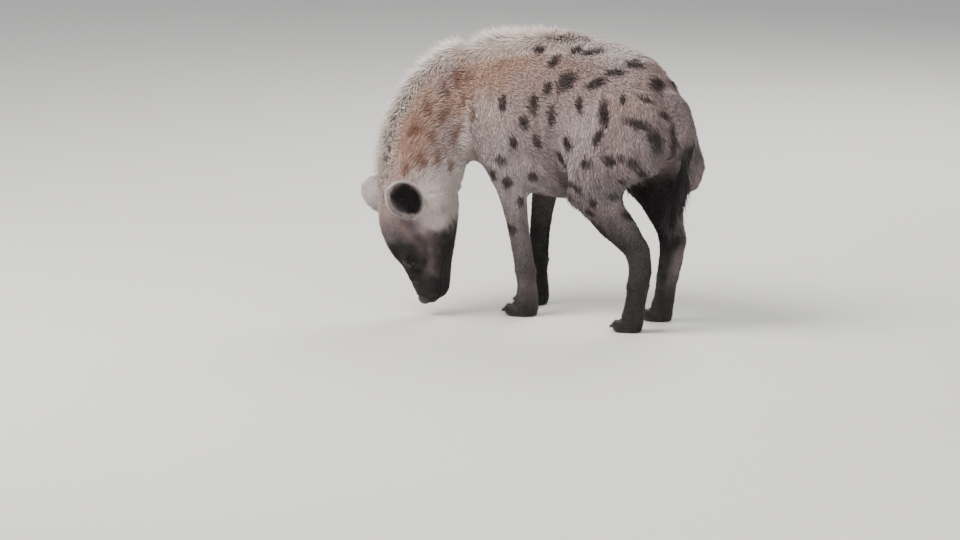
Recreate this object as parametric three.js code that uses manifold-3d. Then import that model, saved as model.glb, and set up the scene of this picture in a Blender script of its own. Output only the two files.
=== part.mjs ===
// A spotted hyena at life size, standing with its head down to the ground and turned to its left.
// Millimetres, +Z up. While it is drawn, the animal faces -X, its left side is -Y and z = 0 is the ground.
// The finished group is moved so that its origin is the middle of its footprint, on the ground.

import * as THREE from 'three';
import { mergeVertices } from 'three/addons/utils/BufferGeometryUtils.js';
import Module from 'manifold-3d';

// Driving dimensions
const backHeight = 742; // top of the back above the ground, with its coat
const headLength = 288; // from the skull's rear end to the tip of the nose
const eyeRadius = 12;
const earLength = 112;
const earWidth = 92;
const backMiddle = backHeight - 226; // height of the trunk's own middle line
const clawLength = 24;
const jointGap = 0.3; // between one sub-part and the next
const maneLength = 74; // longest lock of the mane
const tuftLength = 122; // longest lock of the tail's tuft

// Where the feet stand: x along the body, y to the side
const feet = {
  foreLeft: [-192, -82],
  foreRight: [-274, 62],
  hindLeft: [160, -88],
  hindRight: [122, 82],
};

// The head hangs from the skull's rear end down to the nose, with its crown turned to the left
const skullRear = new THREE.Vector3(-435, -260, 316);
const headPointing = new THREE.Vector3(0.139, 0.087, -0.986);
const crownFacing = new THREE.Vector3(-0.5, -0.854, -0.146);

const furColour = '#a98f78';
const maneColour = '#c1a37f';
const pawColour = '#5a4d45';
const earColour = '#6d5f57';
const noseColour = '#1d1817';
const eyeColour = '#231710';
const clawColour = '#3a312b';
const tuftColour = '#28211e';

const wasm = await Module();
wasm.setup();
const { Manifold, Mesh } = wasm;

// Solids from three.js geometry, and back

function solidFrom(geometry) {
  const loose = geometry.index ? geometry.toNonIndexed() : geometry;
  const bare = new THREE.BufferGeometry().setAttribute('position', loose.getAttribute('position'));
  const merged = mergeVertices(bare, 1e-3);
  const triVerts = new Uint32Array(merged.index.array);
  const vertProperties = new Float32Array(merged.attributes.position.array);
  const made = new Manifold(new Mesh({ numProp: 3, vertProperties, triVerts }));
  if (made.volume() > 0) return made;
  for (let i = 0; i < triVerts.length; i += 3) {
    [triVerts[i + 1], triVerts[i + 2]] = [triVerts[i + 2], triVerts[i + 1]];
  }
  return new Manifold(new Mesh({ numProp: 3, vertProperties, triVerts }));
}

function geometryFrom(solid) {
  const mesh = solid.getMesh();
  const positions = new Float32Array(mesh.numVert * 3);
  for (let i = 0; i < mesh.numVert; i++) {
    positions.set(mesh.vertProperties.subarray(i * mesh.numProp, i * mesh.numProp + 3), i * 3);
  }
  return new THREE.BufferGeometry()
    .setAttribute('position', new THREE.BufferAttribute(positions, 3))
    .setIndex(new THREE.BufferAttribute(new Uint32Array(mesh.triVerts), 1));
}

function joined(...solids) {
  return solids.reduce((whole, piece) => whole.add(piece));
}

function largestOf(solid) {
  return solid.decompose().reduce((best, piece) => (piece.volume() > best.volume() ? piece : best));
}

function placed(solid, matrix) {
  return solidFrom(geometryFrom(solid).applyMatrix4(matrix));
}

// Forms

// The surface of a form along a curved path. Each row holds x, y, z of its middle, then how far it
// reaches to the front side, to the rear side and to each flank, then how much it narrows at front
// and rear. t runs along the path; turn goes round it, and a quarter turn is the front side.
function surfaceOf(rows, facing) {
  const path = new THREE.CatmullRomCurve3(rows.map((r) => new THREE.Vector3(r[0], r[1], r[2])));
  const reach = new THREE.CatmullRomCurve3(
    rows.map((r) => new THREE.Vector3(r[3], r[4], r[5])), false, 'catmullrom', 0.5,
  );
  const narrow = new THREE.CatmullRomCurve3(
    rows.map((r) => new THREE.Vector3(r[6] ?? 0, r[7] ?? 0, 0)), false, 'catmullrom', 0.5,
  );
  const facings = Array.isArray(facing) ? new THREE.CatmullRomCurve3(facing) : null;
  return (t, turn) => {
    const middle = path.getPoint(t);
    const tangent = path.getTangent(t);
    const front = facings ? facings.getPoint(t) : facing.clone();
    front.addScaledVector(tangent, -front.dot(tangent)).normalize();
    const flank = new THREE.Vector3().crossVectors(front, tangent);
    const size = reach.getPoint(t);
    const taper = narrow.getPoint(t);
    const rise = Math.sin(turn);
    const pinch = 1 - (rise > 0 ? taper.x : taper.y) * rise * rise;
    const point = middle.clone()
      .addScaledVector(front, rise * (rise > 0 ? size.x : size.y))
      .addScaledVector(flank, size.z * Math.cos(turn) * pinch);
    return { point, middle, tangent };
  };
}

function loft(rows, { facing, around = 20, along = 24 }) {
  const surface = surfaceOf(rows, facing);
  const sphere = new THREE.SphereGeometry(1, around, along);
  const position = sphere.getAttribute('position');
  const uv = sphere.getAttribute('uv');
  for (let i = 0; i < position.count; i++) {
    const step = Math.round((1 - uv.getY(i)) * along);
    const turn = ((Math.round(uv.getX(i) * around) % around) / around) * Math.PI * 2;
    const { point, middle } = surface(step / along, turn);
    const at = step === 0 || step === along ? middle : point;
    position.setXYZ(i, at.x, at.y, at.z);
  }
  return solidFrom(sphere);
}

// A flat tapered lock of long hair. It starts under the surface and bends from the way out to its lie.
const lockShare = [1, 1, 0.7, 0];
const lockSunk = 13;

function lock(root, outward, lie, long, wide, thick) {
  const curve = new THREE.CubicBezierCurve3(
    root.clone().addScaledVector(outward, -lockSunk).addScaledVector(lie, -8),
    root.clone().addScaledVector(outward, long * 0.2).addScaledVector(lie, long * 0.05),
    root.clone().addScaledVector(outward, long * 0.32).addScaledVector(lie, long * 0.4),
    root.clone().addScaledVector(outward, long * 0.27).addScaledVector(lie, long * 0.96),
  );
  const side = new THREE.Vector3().crossVectors(outward, lie).normalize();
  const steps = lockShare.length - 1;
  const cone = new THREE.ConeGeometry(1, 1, 4, steps);
  const position = cone.getAttribute('position');
  for (let i = 0; i < position.count; i++) {
    const step = Math.round((position.getY(i) + 0.5) * steps);
    const shrink = 1 - step / steps;
    const t = step / steps;
    const face = new THREE.Vector3().crossVectors(side, curve.getTangent(t));
    const at = curve.getPoint(t);
    if (shrink > 0) {
      at.addScaledVector(side, (position.getX(i) / shrink) * (wide / 2) * lockShare[step]);
      at.addScaledVector(face, (position.getZ(i) / shrink) * (thick / 2) * lockShare[step]);
    }
    position.setXYZ(i, at.x, at.y, at.z);
  }
  return solidFrom(cone);
}

// An ellipsoid at a point, turned by angles in degrees about X, Y and Z
function lump([x, y, z], [rx, ry, rz], [ax, ay, az] = [0, 0, 0], around = 14, along = 10) {
  const turn = new THREE.Euler(...[ax, ay, az].map(THREE.MathUtils.degToRad));
  const matrix = new THREE.Matrix4().compose(
    new THREE.Vector3(x, y, z), new THREE.Quaternion().setFromEuler(turn), new THREE.Vector3(rx, ry, rz),
  );
  return solidFrom(new THREE.SphereGeometry(1, around, along).applyMatrix4(matrix));
}

// A thin slab through a point, square to a direction: what parts one sub-part from the next
function slab(at, normal, size, thickness = jointGap) {
  const turn = new THREE.Quaternion().setFromUnitVectors(
    new THREE.Vector3(0, 0, 1), new THREE.Vector3(...normal).normalize(),
  );
  const matrix = new THREE.Matrix4().compose(new THREE.Vector3(...at), turn, new THREE.Vector3(1, 1, 1));
  return solidFrom(new THREE.BoxGeometry(size, size, thickness).applyMatrix4(matrix));
}

// Rounds the creases where joined forms meet, by averaging the surface near them
function softened(solid, reachMm, rounds) {
  const geometry = geometryFrom(solid);
  const position = geometry.getAttribute('position');
  const index = geometry.index.array;
  const points = [];
  for (let i = 0; i < position.count; i++) {
    points.push(new THREE.Vector3().fromBufferAttribute(position, i));
  }
  const beside = points.map(() => new Set());
  const normals = [];
  const edges = new Map();
  for (let f = 0; f < index.length; f += 3) {
    const [a, b, c] = [index[f], index[f + 1], index[f + 2]];
    const normal = new THREE.Vector3().crossVectors(
      points[b].clone().sub(points[a]), points[c].clone().sub(points[a]),
    ).normalize();
    normals.push(normal);
    [[a, b], [b, c], [c, a]].forEach(([p, q]) => {
      beside[p].add(q);
      beside[q].add(p);
      const key = Math.min(p, q) * position.count + Math.max(p, q);
      if (!edges.has(key)) edges.set(key, []);
      edges.get(key).push([f / 3, p, q]);
    });
  }
  const creaseCosine = Math.cos(THREE.MathUtils.degToRad(24));
  const creases = [];
  for (const [first, second] of edges.values()) {
    if (!second) continue;
    const bend = normals[first[0]].dot(normals[second[0]]);
    if (bend > creaseCosine) continue;
    const along = points[first[2]].clone().sub(points[first[1]]);
    const outward = new THREE.Vector3().crossVectors(normals[first[0]], normals[second[0]]);
    if (outward.dot(along) < 0) creases.push(points[first[1]].clone().lerp(points[first[2]], 0.5));
  }
  const weights = points.map((p) => {
    const nearest = creases.reduce((best, c) => Math.min(best, c.distanceToSquared(p)), Infinity);
    return Math.max(0, 1 - Math.sqrt(nearest) / reachMm);
  });
  for (let round = 0; round < rounds; round++) {
    const moved = points.map((p, i) => {
      if (!weights[i]) return p;
      const mean = new THREE.Vector3();
      beside[i].forEach((j) => mean.add(points[j]));
      return p.clone().lerp(mean.divideScalar(beside[i].size), 0.6 * weights[i]);
    });
    moved.forEach((p, i) => points[i].copy(p));
  }
  points.forEach((p, i) => position.setXYZ(i, p.x, p.y, p.z));
  return solidFrom(geometry);
}

// Trunk, from the rump forward to the front of the chest
const trunkRows = [
  [242, 0, 540, 24, 26, 30],
  [235, 0, 533, 82, 64, 96, 0.3, 0.1],
  [208, 0, 524, 132, 84, 118, 0.34, 0.1],
  [160, 0, backMiddle, 170, 94, 120, 0.38, 0.1],
  [90, 0, backMiddle, 202, 130, 122, 0.4, 0.15],
  [5, 0, backMiddle, 218, 178, 126, 0.38, 0.3],
  [-100, 0, backMiddle, 222, 214, 132, 0.38, 0.35],
  [-205, -2, backMiddle, 214, 218, 132, 0.42, 0.42],
  [-295, -8, 514, 204, 202, 122, 0.42, 0.42],
  [-375, -22, 508, 190, 166, 110, 0.38, 0.35],
  [-436, -36, 498, 138, 126, 88, 0.2, 0.2],
  [-470, -44, 488, 70, 66, 48],
  [-478, -48, 486, 20, 20, 16],
];
const facingUp = new THREE.Vector3(0, 0, 1);

// Neck, from inside the shoulders, round to the left and down to the skull
const neckRows = [
  [-290, -5, 570, 84, 96, 76],
  [-380, -22, 566, 136, 148, 96, 0.34, 0.2],
  [-448, -74, 532, 130, 148, 96, 0.38, 0.2],
  [-476, -148, 468, 108, 128, 90, 0.36, 0.15],
  [-466, -212, 395, 92, 140, 84, 0.3, 0.16],
  [-442, -254, 325, 86, 126, 80, 0.2, 0.16],
  [-428, -262, 280, 60, 88, 56],
];
const neckFacings = [
  new THREE.Vector3(-0.1, 0, 1),
  new THREE.Vector3(-0.25, -0.08, 0.96),
  new THREE.Vector3(-0.5, -0.25, 0.82),
  new THREE.Vector3(-0.72, -0.42, 0.5),
  new THREE.Vector3(-0.72, -0.68, 0.1),
  new THREE.Vector3(-0.55, -0.82, -0.12),
  crownFacing,
];

// What counts as neck: a wider form along it, whose blunt near end parts it from the torso
const neckReach = [
  [-402, -34, 558, 30, 30, 30],
  [-410, -40, 556, 150, 92, 112],
  [-450, -84, 530, 190, 104, 128],
  [-478, -148, 464, 190, 112, 134],
  [-468, -212, 395, 170, 146, 130],
  [-436, -262, 300, 150, 152, 120],
  [-410, -275, 150, 120, 110, 100],
  [-404, -275, 130, 20, 20, 20],
];
const neckReachFacings = [
  new THREE.Vector3(-0.3, -0.1, 0.94),
  ...neckFacings.slice(1),
  crownFacing,
];

// Tail: it hangs from the rump, close behind the thighs, with the core of its tuft at the end
const tailRows = [
  [176, 0, 606, 18, 18, 20],
  [214, 0, 598, 23, 23, 27],
  [246, 0, 570, 23, 25, 29],
  [264, -3, 518, 20, 21, 25],
  [264, -8, 462, 18, 19, 21],
  [252, -12, 402, 16, 16, 19],
  [236, -15, 350, 13, 13, 16],
  [224, -16, 304, 6, 6, 7],
];
const facingBack = new THREE.Vector3(1, 0, 0);
const tuftBelow = 446; // height of the cut above which the tail is short-haired

// A leg's rows run down from inside the body. Its foot is where the feet table says, and each row
// shifts towards it by the share in the last column.
function legRows(rows, side, [footX, footY], plainX, plainY) {
  return rows.map(([x, y, z, front, rear, flank, share]) => [
    x + (footX - plainX) * share,
    side * (y + (side * footY - plainY) * share),
    z, front, rear, flank,
  ]);
}

const foreRows = [
  [-300, 54, 605, 30, 30, 16, 0],
  [-312, 74, 570, 56, 54, 30, 0],
  [-330, 92, 520, 78, 70, 42, 0],
  [-322, 102, 460, 72, 70, 46, 0.05],
  [-284, 100, 400, 57, 62, 43, 0.15],
  [-252, 95, 350, 47, 50, 39, 0.3],
  [-238, 91, 290, 39, 39, 34, 0.5],
  [-228, 88, 225, 33, 31, 29, 0.7],
  [-219, 85, 165, 31, 30, 29, 0.85],
  [-212, 83, 125, 30, 30, 29, 0.93],
  [-207, 82, 85, 26, 25, 28, 1],
  [-205, 82, 56, 31, 26, 31, 1],
  [-207, 82, 30, 40, 28, 35, 1],
  [-207, 82, 2, 36, 26, 33, 1],
  [-207, 82, -14, 8, 8, 8, 1],
];

const hindRows = [
  [140, 50, 625, 40, 46, 22, 0],
  [132, 66, 580, 86, 84, 42, 0],
  [108, 82, 520, 118, 112, 52, 0],
  [76, 94, 450, 122, 116, 53, 0],
  [50, 99, 392, 106, 104, 51, 0.1],
  [50, 100, 344, 90, 76, 46, 0.25],
  [92, 97, 298, 72, 50, 39, 0.4],
  [136, 93, 256, 56, 42, 32, 0.6],
  [172, 90, 222, 52, 43, 28, 0.8],
  [185, 89, 190, 46, 41, 26, 0.88],
  [175, 88, 140, 37, 34, 26, 0.95],
  [168, 88, 95, 31, 29, 26, 1],
  [162, 88, 58, 31, 27, 28, 1],
  [156, 88, 30, 35, 26, 31, 1],
  [155, 88, 2, 32, 24, 29, 1],
  [155, 88, -14, 8, 8, 8, 1],
];

const facingAhead = new THREE.Vector3(-1, 0, 0.15);

function foreleg(side, foot) {
  const rows = legRows(foreRows, side, foot, -200, 82);
  const limb = loft(rows, { facing: facingAhead, around: 11, along: 17 });
  const elbow = lump([rows[5][0] + 36, rows[5][1], 372], [24, 20, 34], [0, 20, 0], 8, 6);
  const scapula = lump([-312, side * 82, 546], [72, 34, 84], [side * -8, -14, 0], 10, 7);
  const triceps = lump([-262, side * 98, 462], [56, 38, 80], [0, 24, 0], 10, 7);
  return joined(limb, elbow, scapula, triceps);
}

// The right hind leg stands straighter: its knee is further back, and its ham reaches lower
const kneeShare = [0, 0, 0.2, 0.55, 0.85, 1, 0.95, 0.6, 0.2];
const kneeBack = { left: 0, right: 46 };

function hindleg(side, foot) {
  const back = side < 0 ? kneeBack.left : kneeBack.right;
  const rows = legRows(hindRows, side, foot, 160, 88);
  rows.forEach((row, i) => {
    row[0] += back * (kneeShare[i] ?? 0);
  });
  const limb = loft(rows, { facing: facingAhead, around: 12, along: 19 });
  const heel = lump([rows[8][0] + 42, rows[8][1], 218], [24, 15, 20], [0, -35, 0], 8, 6);
  const ham = lump([164, side * 84, 476 - back], [88, 46, 106 + back / 2], [0, 8, 0], 12, 8);
  const knee = lump([rows[5][0] - 66, rows[5][1], 340], [46, 32, 54], [0, 24, 0], 10, 7);
  return joined(limb, heel, ham, knee);
}

// A foot ends in four toes side by side, cut flat at the ground
const toeSpread = [-29, -10.5, 10.5, 29];
const toeAhead = [-30, -44, -44, -30];

function toesOf([x, y], scale) {
  return joined(...toeSpread.map((offset, i) => lump(
    [x + toeAhead[i] * scale, y + offset * scale, 15], [27 * scale, 12.4 * scale, 17], [0, 8, 0], 7, 5,
  )));
}

// A claw: a blunt cone that curves down from the front of its toe
function claw([x, y], scale, toe) {
  const long = clawLength * scale;
  const cone = new THREE.ConeGeometry(4.4 * scale, long, 5, 2);
  cone.rotateZ(Math.PI / 2).translate(-long / 2, 0, 0);
  const position = cone.getAttribute('position');
  for (let i = 0; i < position.count; i++) {
    const out = -position.getX(i) / long;
    position.setZ(i, position.getZ(i) * 1.25 - 8 * out * out);
  }
  const rootX = x + (toeAhead[toe] - 17) * scale;
  return solidFrom(cone.translate(rootX, y + toeSpread[toe] * scale, 14));
}

// Head, drawn in its own frame: X from the skull's rear end to the nose, Y to its left, Z to its crown
const forward = headPointing.clone().normalize();
const crown = crownFacing.clone().addScaledVector(forward, -crownFacing.dot(forward)).normalize();
const headMatrix = new THREE.Matrix4()
  .makeBasis(forward, new THREE.Vector3().crossVectors(crown, forward), crown)
  .setPosition(skullRear)
  .scale(new THREE.Vector3(1, 1, 1).multiplyScalar(headLength / 288));

const headRows = [
  [-46, 0, 0, 52, 66, 50],
  [-22, 0, 0, 84, 108, 72, 0.2, 0.15],
  [16, 0, 0, 98, 121, 82, 0.28, 0.22],
  [58, 0, 0, 102, 120, 85, 0.36, 0.28],
  [98, 0, -2, 98, 108, 84, 0.42, 0.3],
  [132, 0, -4, 90, 96, 76, 0.44, 0.32],
  [160, 0, -6, 78, 84, 63, 0.38, 0.32],
  [188, 0, -7, 66, 71, 49, 0.32, 0.3],
  [218, 0, -7, 55, 62, 42, 0.26, 0.24],
  [246, 0, -6, 45, 55, 40, 0.2, 0.2],
  [266, 0, -6, 37, 48, 38, 0.2, 0.2],
  [278, 0, -8, 27, 36, 31],
  [285, 0, -10, 12, 20, 17],
  [287, 0, -11, 4, 6, 6],
];
const eyeAt = [169, 32, 41]; // along, to the side, towards the crown
const mouthLine = [[292, -10], [252, -19], [216, -25], [182, -37], [154, -50]];

// The mouth: a blade along the line between the lips, cut to a shallow depth
function mouthGroove() {
  const wide = 2.4;
  const line = new THREE.CatmullRomCurve3(mouthLine.map(([x, z]) => new THREE.Vector3(x, 0, z)));
  const section = new THREE.Shape([
    new THREE.Vector2(-wide / 2, -70), new THREE.Vector2(wide / 2, -70),
    new THREE.Vector2(wide / 2, 70), new THREE.Vector2(-wide / 2, 70),
  ]);
  const blade = solidFrom(
    new THREE.ExtrudeGeometry(section, { steps: 7, extrudePath: line, bevelEnabled: false }),
  );
  const inner = headRows.map(([x, y, z, front, rear, flank, a, b]) => [
    x - 8, y, z, Math.max(front - 6, 1), Math.max(rear - 6, 1), Math.max(flank - 6, 1), a, b,
  ]);
  return blade.subtract(loft(inner, { facing: facingUp, around: 14, along: 16 }));
}

function headInItsFrame() {
  const skull = loft(headRows, { facing: facingUp, around: 18, along: 22 });
  const bothSides = (make) => [make(1), make(-1)];
  const cheeks = bothSides((s) => lump([92, s * 50, -22], [58, 36, 54], [0, 14, 0], 10, 6));
  const brows = bothSides((s) => lump([152, s * 34, 57], [28, 16, 11], [0, 22, s * -16], 8, 5));
  const whiskerPads = bothSides((s) => lump([242, s * 25, 0], [34, 22, 25], [0, 8, 0], 8, 6));
  let head = softened(joined(skull, ...cheeks, ...brows, ...whiskerPads), 14, 8);
  head = head.subtract(mouthGroove());
  const [along, aside, up] = eyeAt;
  bothSides((s) => {
    const at = [along, s * aside, up];
    const lids = lump(at, [1, 1, 1].map((r) => r * (eyeRadius + 3.6)), [0, 0, 0], 10, 8);
    const slit = lump([along + 4, s * (aside + 13), up + 4], [14, 12, 7], [0, 18, s * -30], 8, 6);
    const socket = lump(at, [1, 1, 1].map((r) => r * (eyeRadius + jointGap)), [0, 0, 0], 10, 8);
    head = head.add(lids).subtract(slit).subtract(socket);
  });
  return largestOf(head);
}

// The nose pad, and the pocket in the muzzle that takes it
function nosePad() {
  const pad = (spare) => lump([271, 0, 14], [18 + spare, 22 + spare, 18 + spare], [0, 18, 0], 12, 8);
  const nostrils = [1, -1].map((s) => lump([287, s * 10.5, 11], [8, 4.4, 6.4], [0, 0, s * 24], 6, 4));
  const nose = nostrils.reduce((left, hole) => left.subtract(hole), pad(0));
  return { solid: placed(nose, headMatrix), pocket: placed(pad(jointGap), headMatrix) };
}

// An ear: a rounded cup on the side of the skull, laid back, its opening out to the side
function ear(side) {
  const root = new THREE.Vector3(34, side * 78, 16);
  const tipward = new THREE.Vector3(-0.7, side * 0.2, 0.66).normalize();
  const opening = new THREE.Vector3(0.12, side * 0.96, -0.1);
  opening.addScaledVector(tipward, -opening.dot(tipward)).normalize();
  const matrix = new THREE.Matrix4()
    .makeBasis(tipward, new THREE.Vector3().crossVectors(opening, tipward), opening)
    .setPosition(root)
    .premultiply(headMatrix);
  const [half, wide, deep, wall] = [earLength * 0.56, earWidth / 2, 36, 4.6];
  const cup = (spare) => lump(
    [earLength * 0.44, 0, 0], [half + spare, wide + spare, deep + spare], [0, 0, 0], 12, 8,
  );
  const inner = lump([earLength * 0.44, 0, wall + 1.5], [half - wall, wide - wall, deep], [0, 0, 0], 12, 8);
  const open = solidFrom(new THREE.BoxGeometry(300, 300, 100).translate(0, 0, 56));
  return {
    solid: placed(largestOf(cup(0).subtract(inner).subtract(open)), matrix),
    pocket: placed(cup(jointGap), matrix),
  };
}

// What a piece loses so that it meets its neighbour face to face with the joint's gap
function clearOf(piece, neighbour, towards) {
  const step = towards.clone().normalize().multiplyScalar(jointGap);
  const shifted = neighbour.translate([step.x, step.y, step.z]);
  return largestOf(piece.subtract(neighbour.add(shifted)));
}

// A region a little larger all round, by the joint's gap
function grown(region) {
  const { min, max } = region.boundingBox();
  const middle = min.map((low, i) => (low + max[i]) / 2);
  const factor = min.map((low, i) => 1 + (2.4 * jointGap) / (max[i] - low));
  return region.translate(middle.map((m) => -m)).scale(factor).translate(middle);
}

// The whole body as one smooth solid
const trunk = loft(trunkRows, { facing: facingUp, around: 20, along: 19 });
const neckForm = loft(neckRows, { facing: neckFacings, around: 16, along: 12 });
const headForm = placed(headInItsFrame(), headMatrix);

const legs = [
  { name: 'left', end: 'fore', side: -1, at: feet.foreLeft, scale: 1.06 },
  { name: 'right', end: 'fore', side: 1, at: feet.foreRight, scale: 1.06 },
  { name: 'left', end: 'hind', side: -1, at: feet.hindLeft, scale: 0.94 },
  { name: 'right', end: 'hind', side: 1, at: feet.hindRight, scale: 0.94 },
];
const limbs = legs.map(({ end, side, at }) => (end === 'fore' ? foreleg(side, at) : hindleg(side, at)));
const bodyForm = softened(joined(trunk, neckForm, ...limbs), 46, 22);
const ground = solidFrom(new THREE.BoxGeometry(2000, 2000, 60).translate(0, 0, -30));
const whole = joined(bodyForm, headForm, ...legs.map(({ at, scale }) => toesOf(at, scale))).subtract(ground);

// What counts as leg: its outline from the side, kept to the outer side of a line drawn from the front
const legOutlines = {
  fore: [
    [-450, -40], [-450, 452], [-404, 545], [-340, 590], [-270, 560], [-196, 470], [-140, 360], [-120, -40],
  ],
  hind: [[-90, -40], [-90, 440], [-28, 540], [60, 600], [160, 612], [250, 585], [330, 480], [330, -40]],
};
const legInsides = {
  fore: [[30, -40], [38, 346], [62, 400], [86, 470], [112, 640], [260, 640], [260, -40]],
  hind: [[18, -40], [26, 424], [38, 480], [42, 540], [64, 660], [260, 660], [260, -40]],
};

function legRegion(end, side) {
  const drawn = (points) => new THREE.Shape(points.map(([a, b]) => new THREE.Vector2(a, b)));
  const outline = new THREE.ExtrudeGeometry(drawn(legOutlines[end]), { depth: 600, bevelEnabled: false });
  outline.rotateX(Math.PI / 2).translate(0, 300, 0);
  const inside = new THREE.ExtrudeGeometry(drawn(legInsides[end]), { depth: 1600, bevelEnabled: false });
  inside.rotateX(Math.PI / 2).rotateZ(Math.PI / 2).translate(-800, 0, 0);
  if (side < 0) inside.scale(1, -1, 1);
  return solidFrom(outline).intersect(solidFrom(inside));
}

// Cuts across each leg, at the elbow or knee and at the wrist or hock
const legCuts = {
  fore: [[[-262, 372], [0.24, -1]], [[-212, 126], [0.1, -1]]],
  hind: [[[62, 318], [0.5, -1]], [[200, 200], [-0.2, -1]]],
};
const legNames = {
  fore: ['upper_arm', 'forearm', 'forefoot'],
  hind: ['thigh', 'shank', 'hindfoot'],
};

function largestPieces(solid, count) {
  return solid.decompose().sort((a, b) => b.volume() - a.volume()).slice(0, count);
}

function heightOf(solid) {
  const { min, max } = solid.boundingBox();
  return (min[2] + max[2]) / 2;
}

const group = new THREE.Group();
function addNode(name, solid, colour) {
  const material = new THREE.MeshStandardMaterial({ color: colour, roughness: 0.85, metalness: 0 });
  const mesh = new THREE.Mesh(geometryFrom(solid), material);
  mesh.name = name;
  group.add(mesh);
}

// The parts let into the body, each in its own pocket
const sides = [{ name: 'left', side: 1 }, { name: 'right', side: -1 }];
const ears = sides.map(({ side }) => ear(side));
const nose = nosePad();
const tailPocket = loft(
  tailRows.map((r) => r.map((value, i) => (i > 2 ? value + jointGap : value))),
  { facing: facingBack, around: 10, along: 12 },
);
const pockets = joined(nose.pocket, tailPocket, ...ears.map(({ pocket }) => pocket));

// The head is parted from the neck square to its own length, the neck from the torso by its reach
const headCut = placed(slab([8, 0, 0], [1, 0, 0], 290), headMatrix);
const [larger, smaller] = largestPieces(whole.subtract(joined(headCut, pockets)), 2);
const head = smaller;
const reachForm = loft(neckReach, { facing: neckReachFacings, around: 12, along: 9 });
const neck = largestOf(larger.intersect(reachForm));
let torso = largestOf(larger.subtract(grown(reachForm)));

legs.forEach(({ name, end, side, at, scale }) => {
  const region = legRegion(end, side);
  const leg = largestOf(torso.intersect(region));
  torso = torso.subtract(grown(region));
  const cuts = legCuts[end].map(([[x, z], [nx, nz]]) => slab([x, side * 90, z], [nx, 0, nz], 600));
  const lengths = largestPieces(leg.subtract(joined(...cuts)), 3);
  lengths.sort((p, q) => heightOf(q) - heightOf(p));
  lengths.forEach((piece, i) => {
    addNode(`${legNames[end][i]}_${name}`, piece, i > 1 ? pawColour : furColour);
  });
  toeSpread.forEach((_, toe) => {
    const solid = clearOf(claw(at, scale, toe), lengths[2], facingAhead);
    addNode(`claw_${end}_${name}_${toe + 1}`, solid, clawColour);
  });
});
torso = largestOf(torso);

// The mane: rows of locks along the crest. On the neck they lean towards the head, on the back away from it
function maneLocks(surface, from, to, count, turns, lean, longest) {
  const locks = [];
  turns.forEach((offset, row) => {
    for (let i = 0; i < count; i++) {
      const share = (i + (row % 2) * 0.5) / (count - 0.5);
      const t = from + (to - from) * share;
      const turn = Math.PI / 2 + offset;
      const { point, middle, tangent } = surface(t, turn);
      const outward = point.clone().sub(middle).normalize();
      const lie = tangent.clone().multiplyScalar(lean);
      lie.addScaledVector(outward, -lie.dot(outward)).normalize();
      const long = longest * (0.78 + 0.22 * Math.sin(Math.PI * share)) * (offset ? 0.84 : 1);
      locks.push(lock(point, outward, lie, long, 42, 17));
    }
  });
  return locks;
}

const neckSurface = surfaceOf(neckRows, neckFacings);
const trunkSurface = surfaceOf(trunkRows, facingUp);
const neckMane = maneLocks(neckSurface, 0.235, 0.745, 7, [-0.3, 0.3, 0], 1, maneLength);
const withersMane = maneLocks(neckSurface, 0.135, 0.12, 1, [-0.3, 0.3, 0], -1, maneLength * 0.9);
const backMane = maneLocks(trunkSurface, 0.745, 0.5, 5, [-0.24, 0.24, 0], -1, maneLength * 0.9);

addNode('torso', largestOf(joined(torso, ...withersMane, ...backMane)), furColour);
addNode('neck', largestOf(joined(neck, ...neckMane).subtract(pockets)), maneColour);
addNode('head', head, furColour);

sides.forEach(({ name, side }, i) => {
  addNode(`ear_${name}`, ears[i].solid, earColour);
  const [along, aside, up] = eyeAt;
  const eye = lump([along, side * aside, up], [eyeRadius, eyeRadius, eyeRadius], [0, 0, 0], 10, 8);
  addNode(`eye_${name}`, placed(eye, headMatrix), eyeColour);
});
addNode('nose', nose.solid, noseColour);

// The tail, parted where its tuft begins; the tuft's locks hang from its core
const tailForm = loft(tailRows, { facing: facingBack, around: 10, along: 12 });
const tailParts = largestPieces(tailForm.subtract(slab([250, -6, tuftBelow], [0.05, 0, 1], 200)), 2);
tailParts.sort((p, q) => heightOf(q) - heightOf(p));
const tailSurface = surfaceOf(tailRows, facingBack);
const tuftLocks = [];
[0.7, 0.81, 0.92].forEach((t, ring) => {
  for (let i = 0; i < 4; i++) {
    const turn = ((i + (ring % 2) * 0.5) / 4) * Math.PI * 2 + 0.3;
    const { point, middle, tangent } = tailSurface(t, turn);
    const outward = point.clone().sub(middle).normalize();
    tuftLocks.push(lock(point, outward, tangent, tuftLength * (0.8 + 0.1 * ring), 36, 14));
  }
});
addNode('tail', tailParts[0], furColour);
addNode('tail_tuft', largestOf(joined(tailParts[1], ...tuftLocks)), tuftColour);

// The origin: the middle of the footprint, on the ground
const box = new THREE.Box3().setFromObject(group);
const centre = box.getCenter(new THREE.Vector3());
group.children.forEach((mesh) => mesh.geometry.translate(-centre.x, -centre.y, 0));

export default group;
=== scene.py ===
import math
import time

import bmesh
import bpy
import numpy as np
from mathutils import Matrix, Vector
from mathutils.bvhtree import BVHTree
from mathutils.kdtree import KDTree


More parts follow.
